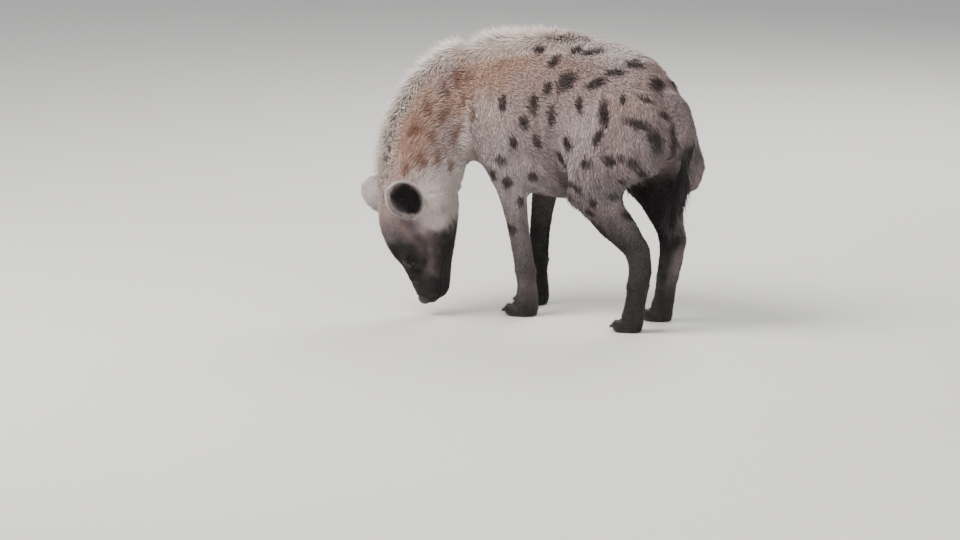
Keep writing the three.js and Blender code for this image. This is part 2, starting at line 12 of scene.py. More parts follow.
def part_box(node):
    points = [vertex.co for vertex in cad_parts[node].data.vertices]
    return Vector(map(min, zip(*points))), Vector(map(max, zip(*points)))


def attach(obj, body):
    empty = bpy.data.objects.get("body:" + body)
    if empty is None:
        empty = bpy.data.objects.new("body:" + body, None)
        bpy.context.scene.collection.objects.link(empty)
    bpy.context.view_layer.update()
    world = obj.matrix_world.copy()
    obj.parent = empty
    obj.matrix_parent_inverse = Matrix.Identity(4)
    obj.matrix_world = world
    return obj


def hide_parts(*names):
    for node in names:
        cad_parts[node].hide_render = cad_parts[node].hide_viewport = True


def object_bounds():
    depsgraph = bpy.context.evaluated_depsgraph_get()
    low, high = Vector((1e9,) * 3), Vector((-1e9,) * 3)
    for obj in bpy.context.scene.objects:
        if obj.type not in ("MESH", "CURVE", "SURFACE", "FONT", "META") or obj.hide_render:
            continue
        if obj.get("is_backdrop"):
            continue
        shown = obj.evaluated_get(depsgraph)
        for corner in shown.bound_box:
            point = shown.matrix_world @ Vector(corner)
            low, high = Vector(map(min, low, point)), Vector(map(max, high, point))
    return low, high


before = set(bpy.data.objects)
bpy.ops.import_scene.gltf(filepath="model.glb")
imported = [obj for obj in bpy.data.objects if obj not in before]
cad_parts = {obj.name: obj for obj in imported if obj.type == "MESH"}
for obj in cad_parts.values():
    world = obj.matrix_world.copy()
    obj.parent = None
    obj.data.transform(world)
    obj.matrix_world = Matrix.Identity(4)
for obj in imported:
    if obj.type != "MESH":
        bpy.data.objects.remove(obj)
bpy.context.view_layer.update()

started = time.time()


def say(text):
    print(f"{time.time() - started:6.1f} s  {text}")


# The animal was drawn in millimetres about its own point; this is the way from there to the frame
drawn = {
    "skullRear": (-435, -260, 316),
    "headPointing": (0.139, 0.087, -0.986),
    "crownFacing": (-0.5, -0.854, -0.146),
    "eye": (169, 32, 41),
    "eyeRadius": 12,
}


def unit(v):
    v = np.asarray(v, float)
    return v / np.maximum(np.linalg.norm(v, axis=-1, keepdims=True), 1e-9)


headForward = unit(drawn["headPointing"])
headCrown = np.asarray(drawn["crownFacing"], float)
headCrown = unit(headCrown - headForward * headCrown.dot(headForward))
headLeft = np.cross(headCrown, headForward)
headAxes = np.array([headForward, headLeft, headCrown])


def boxMiddle(node):
    low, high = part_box(node)
    return np.array((low + high) / 2)


eyeDrawn = (np.asarray(drawn["skullRear"]) + np.asarray(drawn["eye"]) @ headAxes) / 1000
shift = boxMiddle("eye_left") - eyeDrawn


def toFrame(points):
    return np.asarray(points, float) / 1000 + shift


def toDrawn(points):
    return (np.asarray(points, float) - shift) * 1000


def toHead(points):
    return (toDrawn(points) - drawn["skullRear"]) @ headAxes.T


def fromHead(points):
    return toFrame(np.asarray(points, float) @ headAxes + drawn["skullRear"])


# Camera at the photo's angle: the drawn point (-200, 0, 0) falls on this pixel
shot = {"turn": 40, "rise": 10, "away": 15, "pixelsPerMetre": 385, "pixel": (546.8, 311), "sensor": 36}


def makeCamera():
    turn, rise = math.radians(shot["turn"]), math.radians(shot["rise"])
    back = Vector((math.sin(turn) * math.cos(rise), -math.cos(turn) * math.cos(rise), math.sin(rise)))
    across = Vector((math.cos(turn), math.sin(turn), 0))
    upward = back.cross(across)
    scale = shot["pixelsPerMetre"]
    px, py = shot["pixel"]
    aim = Vector(toFrame((-200, 0, 0))) + across * (480 - px) / scale + upward * (py - 270) / scale
    data = bpy.data.cameras.new("camera")
    data.sensor_width = shot["sensor"]
    data.lens = scale * shot["away"] / 960 * shot["sensor"]
    data.clip_end = 100
    camera = bpy.data.objects.new("camera", data)
    camera.location = aim + back * shot["away"]
    camera.rotation_mode = "QUATERNION"
    camera.rotation_quaternion = (-back).to_track_quat("-Z", "Y")
    bpy.context.scene.collection.objects.link(camera)
    bpy.context.scene.camera = camera
    return camera.location.copy(), aim, across, upward


cameraAt, cameraAim, screenRight, screenUp = makeCamera()


def rayOf(px, py):
    scale = shot["pixelsPerMetre"]
    point = cameraAim + screenRight * (px - 480) / scale + screenUp * (270 - py) / scale
    return (point - cameraAt).normalized()


say("camera")


# Shader expressions: a Value wraps a socket, and arithmetic on it adds Math nodes
class Value:
    def __init__(self, finish, socket):
        self.finish, self.socket = finish, socket

    def maths(self, operation, *others):
        return self.finish.node("ShaderNodeMath", {"operation": operation}, [self, *others])

    def __add__(self, other):
        return self.maths("ADD", other)

    def __sub__(self, other):
        return self.maths("SUBTRACT", other)

    def __rsub__(self, other):
        return self.finish.node("ShaderNodeMath", {"operation": "SUBTRACT"}, [other, self])

    def __mul__(self, other):
        return self.maths("MULTIPLY", other)

    def limited(self, low=0.0, high=1.0):
        return self.maths("MAXIMUM", low).maths("MINIMUM", high)

    def step(self, low, high):
        settings = {"interpolation_type": "SMOOTHSTEP", "clamp": True}
        values = {"Value": self, "From Min": low, "From Max": high}
        return self.finish.node("ShaderNodeMapRange", settings, values)

    __radd__ = __add__
    __rmul__ = __mul__


def linear(code):
    parts = [int(code[i:i + 2], 16) / 255 for i in (1, 3, 5)]
    return (*[p / 12.92 if p <= 0.04045 else ((p + 0.055) / 1.055) ** 2.4 for p in parts], 1.0)


class Finish:
    def __init__(self, name, **sockets):
        self.material = bpy.data.materials.new(name)
        self.material.use_nodes = True
        self.tree = self.material.node_tree
        self.shader = self.tree.nodes["Principled BSDF"]
        for socket, value in sockets.items():
            self.shader.inputs[socket.replace("_", " ")].default_value = value

    def node(self, kind, settings=None, values=None, output=0):
        made = self.tree.nodes.new(kind)
        for key, value in (settings or {}).items():
            setattr(made, key, value)
        pairs = values.items() if isinstance(values, dict) else enumerate(values or [])
        for key, value in pairs:
            self.join(value, made.inputs[key])
        return Value(self, made.outputs[output])

    def join(self, value, socket):
        if isinstance(value, Value):
            self.tree.links.new(value.socket, socket)
        else:
            socket.default_value = value

    def attribute(self, name):
        return self.node("ShaderNodeAttribute", {"attribute_name": name}, output="Fac")

    def place(self, scale=(1, 1, 1)):
        place = self.node("ShaderNodeTexCoord", output="Object")
        return self.node("ShaderNodeMapping", {"vector_type": "POINT"}, {"Vector": place, "Scale": scale})

    def noise(self, scale, detail=2.0, roughness=0.5, stretch=(1, 1, 1)):
        values = {"Vector": self.place(stretch), "Scale": scale, "Detail": detail, "Roughness": roughness}
        return self.node("ShaderNodeTexNoise", None, values, "Fac")

    def mix(self, factor, first, second):
        made = self.tree.nodes.new("ShaderNodeMix")
        made.data_type = "RGBA"
        self.join(factor, made.inputs[0])
        self.join(first, made.inputs[6])
        self.join(second, made.inputs[7])
        return Value(self, made.outputs[2])

    def bump(self, height, strength, distance):
        values = {"Height": height, "Strength": strength, "Distance": distance}
        self.join(self.node("ShaderNodeBump", None, values), self.shader.inputs["Normal"])

    def colour(self, value):
        self.join(value, self.shader.inputs["Base Color"])

    def rough(self, value):
        self.join(value, self.shader.inputs["Roughness"])


# Colours of the coat, in the order they are laid over each other
coatColours = {
    "buff": "#a08f8f",
    "warm": "#b48f7a",
    "pale": "#e8ddd4",
    "russet": "#75503d",
    "grey": "#655b5e",
    "dark": "#181312",
    "spot": "#2b1d1a",
}


def coatFinish(name, skin=False):
    f = Finish(name, Sheen_Weight=0.12, Sheen_Roughness=0.5, Specular_IOR_Level=0.25)
    tone = {key: linear(code) for key, code in coatColours.items()}
    patch, fleck = f.noise(9, 3.0, 0.6), f.noise(160, 2.0, 0.6)
    strand, along = f.attribute("strand"), f.attribute("along")
    colour = f.mix(patch.step(0.3, 0.75) * 0.35, tone["buff"], tone["warm"])
    for key in ("warm", "pale", "russet", "grey"):
        colour = f.mix(f.attribute(key), colour, tone[key])
    colour = f.mix((f.attribute("spot") * (0.86 + fleck * 0.28)).limited(), colour, tone["spot"])
    colour = f.mix(f.attribute("dark"), colour, tone["dark"])
    # Painted shade: each hair is darker at the root than at the tip, and the skin under the coat is as dark
    # as the roots; strand and fleck add random tone
    rootShadeAndTone = 0.76 + along * 0.33 + (strand - 0.5) * 0.34 + (fleck - 0.5) * 0.24
    f.colour(f.node("ShaderNodeVectorMath", {"operation": "SCALE"}, {0: colour, "Scale": rootShadeAndTone}))
    f.rough((0.86 - along * 0.16).limited(0.4, 1.0))
    if skin:
        f.bump(f.noise(520, 3.0, 0.7, stretch=(0.35, 1, 0.5)), 0.45, 0.0012)
    return f


say("finishes")


# Meshes: copies of the CAD nodes, remeshed as one skin
def newObject(name, mesh):
    made = bpy.data.objects.new(name, mesh)
    bpy.context.scene.collection.objects.link(made)
    return made


def meshFrom(bm, name):
    mesh = bpy.data.meshes.new(name)
    bm.to_mesh(mesh)
    bm.free()
    return mesh


def smoothFaces(mesh):
    mesh.polygons.foreach_set("use_smooth", np.ones(len(mesh.polygons), bool))


def joinedCopy(name, nodes):
    bm = bmesh.new()
    for node in nodes:
        bm.from_mesh(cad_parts[node].data)
    bmesh.ops.remove_doubles(bm, verts=bm.verts, dist=1e-5)
    return newObject(name, meshFrom(bm, name))


def baked(piece):
    depsgraph = bpy.context.evaluated_depsgraph_get()
    mesh = bpy.data.meshes.new_from_object(piece.evaluated_get(depsgraph), depsgraph=depsgraph)
    old = piece.data
    piece.modifiers.clear()
    piece.data = mesh
    mesh.name = piece.name
    bpy.data.meshes.remove(old)
    return piece


def voxelled(piece, size):
    remesh = piece.modifiers.new("voxels", "REMESH")
    remesh.mode = "VOXEL"
    remesh.voxel_size = size
    remesh.use_smooth_shade = True
    return baked(piece)


def pointsOf(mesh):
    flat = np.empty(len(mesh.vertices) * 3, np.float32)
    mesh.vertices.foreach_get("co", flat)
    return flat.reshape(-1, 3).astype(float)


def movePoints(mesh, points):
    mesh.vertices.foreach_set("co", np.ascontiguousarray(points, np.float32).ravel())
    mesh.update()


def normalsOf(mesh):
    flat = np.empty(len(mesh.vertices) * 3, np.float32)
    mesh.vertex_normals.foreach_get("vector", flat)
    return flat.reshape(-1, 3).astype(float)


def edgesOf(mesh):
    flat = np.empty(len(mesh.edges) * 2, np.int32)
    mesh.edges.foreach_get("vertices", flat)
    return flat.reshape(-1, 2)


def eased(values, edges, rounds, share=0.6):
    values = np.asarray(values, float)
    flat = values.reshape(len(values), -1).copy()
    count = len(flat)
    a, b = edges[:, 0], edges[:, 1]
    near = np.maximum(np.bincount(a, minlength=count) + np.bincount(b, minlength=count), 1)
    share = np.broadcast_to(np.asarray(share, float), (count,))
    for _ in range(rounds):
        for k in range(flat.shape[1]):
            column = flat[:, k]
            mean = (np.bincount(a, column[b], count) + np.bincount(b, column[a], count)) / near
            flat[:, k] = column + share * (mean - column)
    return flat.reshape(values.shape)


def smooth(low, high, x):
    t = np.clip((x - low) / (high - low), 0, 1)
    return t * t * (3 - 2 * t)


def mixed(first, share, second):
    return first * (1 - share) + second * share


def distance(points, place):
    return np.linalg.norm(points - np.asarray(place), axis=1)


# The coat on each part: length, width and depth in mm, lift in degrees, spacing in mm, lie
coatKeys = ("long", "wide", "deep", "lift", "apart", "lie")
coatRules = {
    "torso": (24, 3.0, 8.5, 21, 3.84, (1, 0, -0.32)),
    "neck": (27, 2.9, 9.5, 22, 3.55, (0.4, 0.5, -0.2)),
    "head": (11.5, 1.8, 4.0, 20, 1.70, tuple(-headForward)),
    "ear": (8.5, 1.6, 0.4, 15, 1.7, (0, 0, 1)),
    "upper_arm": (19, 2.8, 7, 20, 3.56, (0.35, 0, -1)),
    "forearm": (12.5, 2.2, 4.0, 18, 2.5, (0.1, 0, -1)),
    "forefoot": (10, 1.8, 2.4, 18, 1.95, (-0.5, 0, -1)),
    "thigh": (22, 2.9, 8, 21, 3.68, (0.5, 0, -1)),
    "shank": (13.5, 2.3, 4.2, 18, 2.6, (0.5, 0, -1)),
    "hindfoot": (10, 1.8, 2.4, 18, 1.95, (-0.4, 0, -1)),
    "tail": (20, 2.4, 4, 17, 2.8, (0, 0, -1)),
}
fleshNodes = [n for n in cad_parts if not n.startswith(("claw", "eye", "nose"))]


def partOf(node):
    for side in ("_left", "_right", "_tuft"):
        node = node.replace(side, "")
    return node


# The drawn neck and back, whose locks are planed off the skin: middle, front and flank reach, way up
ridges = {
    "neck": {
        "middle": [(-290, -5, 570), (-380, -22, 566), (-448, -74, 532), (-476, -148, 468), (-466, -212, 395),
                   (-442, -254, 325), (-428, -262, 280)],
        "reach": [(84, 76), (136, 96), (130, 96), (108, 90), (92, 82), (86, 78), (60, 54)],
        "upward": [(-0.1, 0, 1), (-0.25, -0.08, 0.96), (-0.5, -0.25, 0.82), (-0.72, -0.42, 0.5),
                   (-0.72, -0.68, 0.1), (-0.55, -0.82, -0.12), (-0.5, -0.854, -0.146)],
    },
    "back": {
        "middle": [(-436, -36, 498), (-375, -22, 508), (-295, -8, 514), (-205, -2, 516), (-100, 0, 516),
                   (5, 0, 516), (90, 0, 516)],
        "reach": [(138, 88), (190, 110), (204, 122), (214, 132), (222, 132), (218, 126), (202, 122)],
        "upward": [(0, 0, 1)] * 7,
    },
}


def catmull(rows, steps):
    rows = np.asarray(rows, float)
    padded = np.vstack([2 * rows[0] - rows[1], rows, 2 * rows[-1] - rows[-2]])
    t = np.linspace(0, len(rows) - 1, steps)
    i = np.minimum(t.astype(int), len(rows) - 2)
    f = (t - i)[:, None]
    a, b, c, d = (padded[i + k] for k in range(4))
    bend, twist = 2 * a - 5 * b + 4 * c - d, 3 * b - a - 3 * c + d
    return 0.5 * (2 * b + (c - a) * f + bend * f ** 2 + twist * f ** 3)


class Ridge:
    def __init__(self, middle, reach, upward, steps=90):
        self.middle = toFrame(catmull(middle, steps))
        self.reach = catmull(reach, steps) / 1000
        self.way = unit(np.gradient(self.middle, axis=0))
        upward = catmull(upward, steps)
        self.up = unit(upward - self.way * (upward * self.way).sum(1)[:, None])
        self.crest = self.middle + self.up * self.reach[:, :1]
        self.tree = KDTree(steps)
        for i, point in enumerate(self.crest):
            self.tree.insert(point, i)
        self.tree.balance()

    def over(self, points, spare=0.0015):
        found = [self.tree.find(p) for p in points]
        at = np.array([f[1] for f in found])
        gap = np.array([f[2] for f in found])
        up, way = self.up[at], self.way[at]
        offset = points - self.crest[at]
        aside = np.abs((offset * np.cross(up, way)).sum(1))
        high = (offset * up).sum(1)
        front, flank = self.reach[at, 0], self.reach[at, 1]
        roof = front * (np.sqrt(np.clip(1 - (aside / (flank * 0.86)) ** 2, 0.3, 1)) - 1) + spare
        past = np.abs((offset * way).sum(1)) > 0.02
        within = (gap < 0.09) & (aside < 0.066)
        return np.where(past, 1.0, high - roof), within & ~past, up


def planed(points):
    neckOver, onNeck, neckUp = neckRidge.over(points)
    backOver, onBack, backUp = backRidge.over(points)
    nearBack = backOver <= neckOver
    over = np.where(nearBack, backOver, neckOver)
    over = np.maximum(over, 0) * (onNeck | onBack) * (over < 0.5)
    return points - np.where(nearBack[:, None], backUp, neckUp) * over[:, None]


neckRidge = Ridge(**ridges["neck"])
backRidge = Ridge(**ridges["back"])
crestLine = np.vstack([neckRidge.crest[74:20:-4], backRidge.crest[24::6]])
neckLine = neckRidge.middle[::6]


# For points near a line of points: the distance, the way along it from 0 to 1, and its direction
def alongLine(points, line):
    best = np.full(len(points), 1e9)
    share = np.zeros(len(points))
    way = np.zeros((len(points), 3))
    for i in range(len(line) - 1):
        start, leg = line[i], line[i + 1] - line[i]
        t = np.clip(((points - start) @ leg) / leg.dot(leg), 0, 1)
        gap = np.linalg.norm(points - start - t[:, None] * leg, axis=1)
        closer = gap < best
        best[closer] = gap[closer]
        share[closer] = (i + t[closer]) / (len(line) - 1)
        way[closer] = leg / np.linalg.norm(leg)
    return best, share, way


def crestPoint(share):
    at = share * (len(crestLine) - 1)
    return np.stack([np.interp(at, np.arange(len(crestLine)), column) for column in crestLine.T], 1)


class NodeFinder:
    def __init__(self):
        points, faces, self.owner = [], [], []
        for node in fleshNodes:
            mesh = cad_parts[node].data
            mesh.calc_loop_triangles()
            base = len(points)
            points += [v.co.copy() for v in mesh.vertices]
            faces += [[base + i for i in tri.vertices] for tri in mesh.loop_triangles]
            self.owner += [partOf(node)] * len(mesh.loop_triangles)
        self.tree = BVHTree.FromPolygons(points, faces)

    def partsAt(self, points):
        return np.array([self.owner[self.tree.find_nearest(Vector(p))[2]] for p in points])


finder = NodeFinder()
say("node finder")


# How much less the coat's numbers are on the muzzle and round the eyes
shortCoat = {
    "muzzle": {"long": 0.5, "wide": 0.25, "apart": 0.22, "deep": 0.5, "from": (140, 240)},
    "eyes": {"long": 0.5, "wide": 0.25, "apart": 0.25, "deep": 0.6, "from": (42, 20)},
}


# Per-point numbers of the coat: each part's share is spread over the skin, so that nothing changes abruptly
class CoatMap:
    def __init__(self, mesh, rounds):
        self.points = pointsOf(mesh)
        self.edges = edgesOf(mesh)
        self.parts = finder.partsAt(self.points)
        names = list(coatRules)
        masks = np.array([self.parts == name for name in names], float).T
        masks = eased(masks, self.edges, rounds)
        hx = toHead(self.points)[:, 0]
        bare = smooth(-85, 40, hx)
        isHead, isNeck, isEar = (names.index(name) for name in ("head", "neck", "ear"))
        both = masks[:, isHead] + masks[:, isNeck]
        masks[:, isHead] = both * bare
        masks[:, isNeck] = both * (1 - bare)
        self.masks = masks
        table = {key: np.array(column, float) for key, column in zip(coatKeys, zip(*coatRules.values()))}
        rule = {key: masks @ value for key, value in table.items()}
        neckWay = alongLine(self.points, neckLine)[2]
        lies = masks @ (table["lie"] * (np.arange(len(names)) != isNeck)[:, None])
        lies += masks[:, [isNeck]] * unit(-neckWay * 0.8 + np.array((0.2, 0, -0.55)))
        earWay = unit(-headForward * 0.7 + headCrown * 0.66)
        lies += masks[:, [isEar]] * earWay
        self.lie = unit(lies)
        head = toHead(self.points)
        self.shorten(rule, "muzzle", hx, masks[:, isHead])
        for side in (1, -1):
            fromEye = distance(head, np.multiply(drawn["eye"], (1, side, 1)))
            self.shorten(rule, "eyes", fromEye, masks[:, isHead])
        for key in coatKeys[:-1]:
            setattr(self, key, rule[key])
        self.out = unit(eased(normalsOf(mesh), self.edges, 5))

    def shorten(self, rule, where, reach, onHead):
        near = smooth(*shortCoat[where]["from"], reach) * onHead
        for key in ("long", "wide", "apart", "deep"):
            rule[key] *= 1 - shortCoat[where][key] * near


# The skin of the body, with finer ones for the head and the feet that overlap it under the coat
skinSettings = {
    "body": 0.0054, "head": 0.0023, "paws": 0.0024,  # voxels
    "bodyRounds": 9, "headRounds": 4, "pawRounds": 3, "legRounds": 20, "crestRounds": 46, "eyeRounds": 26,
    "headFrom": -55, "bodyUntil": 26, "headWide": 146, "bodyBeside": 142,  # mm along the head and beside it
    "pawsBelow": 0.154, "bodyAbove": 0.108,  # m above the ground
    "earSpare": 0.0011, "earKept": 1.25, "earClear": 1.02, "hemSunk": 4.5,
}


def keepOnly(bm, keep):
    points = np.array([v.co for v in bm.verts])
    gone = [v for v, stays in zip(bm.verts, keep(points)) if not stays]
    bmesh.ops.delete(bm, geom=gone, context="VERTS")


def cut(piece, keep):
    bm = bmesh.new()
    bm.from_mesh(piece.data)
    keepOnly(bm, keep)
    bm.to_mesh(piece.data)
    bm.free()


# The tail under its tuft: a thinning rod through these drawn points
tailSettings = {
    "line": [(262, -8, 470), (252, -12, 402), (236, -15, 350), (224, -16, 312)], "root": (226, 0, 580),
    "thick": 0.014, "thinning": 0.009,
}


def tailCore():
    line = toFrame(tailSettings["line"])
    bm = bmesh.new()
    bmesh.ops.create_cone(bm, cap_ends=True, segments=12, radius1=1, radius2=1, depth=1)
    standing = [e for e in bm.edges if abs(e.verts[0].co.z - e.verts[1].co.z) > 0.5]
    bmesh.ops.subdivide_edges(bm, edges=standing, cuts=8)
    for v in bm.verts:
        t = v.co.z + 0.5
        leg = min(int(t * 3), 2)
        middle = line[leg] + (line[leg + 1] - line[leg]) * (t * 3 - leg)
        reach = tailSettings["thick"] - tailSettings["thinning"] * t
        v.co = Vector((middle[0] + v.co.x * reach, middle[1] + v.co.y * reach, middle[2]))
    bmesh.ops.recalc_face_normals(bm, faces=bm.faces)
    return meshFrom(bm, "tailCore")


def besideHead(points):
    return np.linalg.norm(toHead(points)[:, 1:], axis=1)


def makeBodySkin():
    piece = joinedCopy("bodySkin", [n for n in fleshNodes if n != "tail_tuft" and not n.startswith("ear")])
    core = tailCore()
    bm = bmesh.new()
    bm.from_mesh(piece.data)
    bm.from_mesh(core)
    bm.to_mesh(piece.data)
    bm.free()
    bpy.data.meshes.remove(core)
    voxelled(piece, skinSettings["body"])
    movePoints(piece.data, planed(pointsOf(piece.data)))
    voxelled(piece, skinSettings["body"])
    points, edges = pointsOf(piece.data), edgesOf(piece.data)
    crest = smooth(0.085, 0.05, alongLine(points, crestLine)[0])
    tailRoot = smooth(0.085, 0.05, distance(points, toFrame(tailSettings["root"])))
    neckSeam = smooth(0.06, 0.03, np.abs(toHead(points)[:, 0] / 1000 - 0.008))
    neckSeam *= distance(points, fromHead((8, 0, 0))) < 0.2
    points = eased(points, edges, skinSettings["bodyRounds"], 0.5)
    softer = 0.6 * np.maximum(crest, np.maximum(tailRoot, neckSeam))
    movePoints(piece.data, eased(points, edges, skinSettings["crestRounds"], softer))
    return piece


# The head's own places, with the right side laid over the left
def mirroredHead(points):
    head = toHead(points)
    head[:, 1] = np.abs(head[:, 1])
    return head


def onHeadSkin(points):
    ahead = toHead(points)[:, 0] > skinSettings["headFrom"]
    beside = besideHead(points) < skinSettings["headWide"]
    return (ahead & beside) | (earReach(points) < skinSettings["earKept"])


def thickenedEar(node):
    ear = bmesh.new()
    ear.from_mesh(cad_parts[node].data)
    bmesh.ops.remove_doubles(ear, verts=ear.verts, dist=1e-5)
    ear.normal_update()
    for v in ear.verts:
        v.co += v.normal * skinSettings["earSpare"]
    return meshFrom(ear, node)


def makeHeadSkin(body):
    bm = bmesh.new()
    bm.from_mesh(body.data)
    near = fromHead((60, 0, 0))
    keepOnly(bm, lambda p: (toHead(p)[:, 0] > -90) & (distance(p, near) < 0.22) & (besideHead(p) < 150))
    bmesh.ops.holes_fill(bm, edges=[e for e in bm.edges if e.is_boundary], sides=0)
    for node in ("head", "eye_left", "eye_right"):
        bm.from_mesh(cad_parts[node].data)
    for node in ("ear_left", "ear_right"):
        ear = thickenedEar(node)
        bm.from_mesh(ear)
        bpy.data.meshes.remove(ear)
    bmesh.ops.remove_doubles(bm, verts=bm.verts, dist=1e-5)
    piece = voxelled(newObject("headSkin", meshFrom(bm, "headSkin")), skinSettings["head"])
    cut(piece, onHeadSkin)
    edges = edgesOf(piece.data)
    points = eased(pointsOf(piece.data), edges, skinSettings["headRounds"], 0.5)
    fromEye = distance(mirroredHead(points), drawn["eye"])
    points = eased(points, edges, skinSettings["eyeRounds"], 0.6 * smooth(30, 19, fromEye))
    movePoints(piece.data, clearedEars(points))
    return piece


# The hollow of each ear as it was drawn; whatever of the head lies in it is pushed back to its wall
earDrawn = {
    "root": (34, 78, 16), "tipward": (-0.7, 0.2, 0.66), "opening": (0.12, 0.96, -0.1),
    "middle": (49.3, 0, 6.1), "radii": (58.1, 41.4, 36),
}


def earLocal(points, side):
    tipward = unit(np.multiply(earDrawn["tipward"], (1, side, 1)))
    opening = np.multiply(earDrawn["opening"], (1, side, 1))
    opening = unit(opening - tipward * opening.dot(tipward))
    axes = np.array([tipward, np.cross(opening, tipward), opening])
    root = np.multiply(earDrawn["root"], (1, side, 1))
    return (toHead(points) - root) @ axes.T, axes, root


def earReach(points):
    reaches = [np.linalg.norm((earLocal(points, side)[0] - earDrawn["middle"]) / earDrawn["radii"], axis=1)
               for side in (1, -1)]
    return np.minimum(*reaches)


def clearedEars(points):
    for side in (1, -1):
        local, axes, root = earLocal(points, side)
        away = (local - earDrawn["middle"]) / earDrawn["radii"]
        far = np.linalg.norm(away, axis=1)
        within = (far < 0.95) & (local[:, 2] < 7)
        wall = np.array(earDrawn["middle"]) + away / np.maximum(far, 0.05)[:, None] * earDrawn["radii"] * 0.97
        points = np.where(within[:, None], fromHead(wall @ axes + root), points)
    return points


def makePawSkin():
    lower = ("forefoot", "hindfoot", "forearm", "shank")
    piece = joinedCopy("pawSkin", [n for n in fleshNodes if partOf(n) in lower])
    voxelled(piece, skinSettings["paws"])
    cut(piece, lambda p: p[:, 2] < skinSettings["pawsBelow"])
    points, edges = pointsOf(piece.data), edgesOf(piece.data)
    above = smooth(0.045, 0.07, points[:, 2])
    points = eased(points, edges, skinSettings["pawRounds"], 0.5)
    movePoints(piece.data, eased(points, edges, skinSettings["legRounds"], 0.5 * above))
    return piece


# How far a skin has dived under its neighbour, from 0 to 1: the body's, then those of the head and the feet
def hemOf(points):
    atHead = smooth(-4, 22, toHead(points)[:, 0]) * (distance(points, middleOfHead) < 0.22)
    return np.maximum(atHead * smooth(154, 138, besideHead(points)), smooth(0.140, 0.114, points[:, 2]))


def hemOver(piece, points):
    if piece is headSkin:
        return smooth(-2, -46, toHead(points)[:, 0]) * smooth(1.1, 1.3, earReach(points))
    return smooth(0.122, 0.148, points[:, 2])


def sinkByCoat(piece, coat):
    hem = hemOf(coat.points) if piece is bodySkin else hemOver(piece, coat.points)
    depth = coat.deep + skinSettings["hemSunk"] * hem
    points = pointsOf(piece.data) - normalsOf(piece.data) * (depth / 1000)[:, None]
    points[:, 2] = np.maximum(points[:, 2], 0)
    movePoints(piece.data, eased(points, edgesOf(piece.data), 2, 0.4))


bodySkin = makeBodySkin()
headSkin = makeHeadSkin(bodySkin)
pawSkin = makePawSkin()
middleOfHead = fromHead((120, 0, 0))


def onBodySkin(points):
    behind = toHead(points)[:, 0] < skinSettings["bodyUntil"]
    beside = besideHead(points) > skinSettings["bodyBeside"]
    clear = (points[:, 2] > skinSettings["bodyAbove"]) & (earReach(points) > skinSettings["earClear"])
    return (behind | beside | (distance(points, middleOfHead) > 0.2)) & clear


cut(bodySkin, onBodySkin)
bodyCoat = CoatMap(bodySkin.data, 28)
headCoat, pawCoat = CoatMap(headSkin.data, 40), CoatMap(pawSkin.data, 40)
skins = ((bodySkin, bodyCoat), (headSkin, headCoat), (pawSkin, pawCoat))
for piece, coat in skins:
    sinkByCoat(piece, coat)
    say(f"{piece.name}: {len(piece.data.polygons)} faces")


# Folds and lips of the face, pushed out (+) or in (-) in mm: place in the head's frame, reach, amount
faceForms = [
    ((192, 34, 40), (20, 14, 16), -5.0),  # hollow in front of the eye
    ((150, 28, 60), (22, 16, 9), 4.5),  # brow
    ((146, 54, 24), (34, 16, 9), 4.5),  # cheekbone, from under the eye
    ((104, 72, 30), (34, 16, 10), 3.5),  # and on to the ear
    ((112, 58, 62), (30, 22, 16), -6.0),  # temple
    ((150, 52, -4), (34, 16, 14), -4.5),  # hollow under the cheekbone
    ((84, 76, -36), (44, 26, 34), 4.0),  # jaw muscle
    ((206, 36, 6), (20, 16, 22), -4.0),  # side of the muzzle
    ((244, 36, 2), (24, 16, 20), 3.5),  # whisker pad
    ((264, 18, -34), (22, 18, 12), 3.0),  # chin
    ((190, 30, -52), (46, 14, 16), 2.5),  # lower jaw
    ((96, 0, 98), (54, 9, 30), 3.0),  # crest of the skull
    ((178, 0, 66), (34, 12, 20), -3.5),  # furrow between the eyes
]
lipLine = [(282, 0), (266, -14), (246, -20), (224, -24), (198, -30), (172, -42), (156, -52)]
lipForms = [(5, 4.5, 1.8), (-5.5, 4, 1.4), (0, 1.7, -3.2)]  # upper lip, lower lip, gap: height, reach, amount


def sculptFace(piece):
    points, normals = pointsOf(piece.data), normalsOf(piece.data)
    head = mirroredHead(points)
    push = np.zeros(len(points))
    for at, reach, out in faceForms:
        push += out * np.exp(-(((head - at) / reach) ** 2).sum(1))
    line = np.array(lipLine, float)
    gap = head[:, 2] - np.interp(-head[:, 0], -line[:, 0], line[:, 1])
    for at, reach, out in lipForms:
        push += smooth(150, 164, head[:, 0]) * (head[:, 1] > 4) * out * np.exp(-((gap - at) / reach) ** 2)
    onMuzzle = smooth(198, 212, head[:, 0]) * smooth(240, 226, head[:, 0]) * smooth(6, 20, head[:, 2])
    push += 0.6 * np.sin((head[:, 0] + 0.5 * head[:, 2]) / 3.4) * onMuzzle  # wrinkles
    movePoints(piece.data, points + normals * (push / 1000)[:, None])
    for side in (1, -1):
        openEye(piece, side)


# Eyes: how the ball looks out, and how far in degrees the gap between the lids opens along and across
eyeSettings = {
    "gaze": (0.22, 0.93, 0.28), "bulge": 0.0010,
    "lidSpare": 0.0009, "lidThick": 0.0012, "skinSpare": 0.0012, "behind": 0.003, "bareWithin": 0.024,
    "openAlong": 50, "openAcross": 29, "tilt": -14,
}


def gapAngle(turn, side):
    tilted = turn - math.radians(eyeSettings["tilt"]) * side
    c, s = np.cos(tilted), np.sin(tilted)
    angle = 1 / np.hypot(c / eyeSettings["openAlong"], s / eyeSettings["openAcross"])
    return angle * (0.93 + 0.16 * np.abs(c) ** 6)


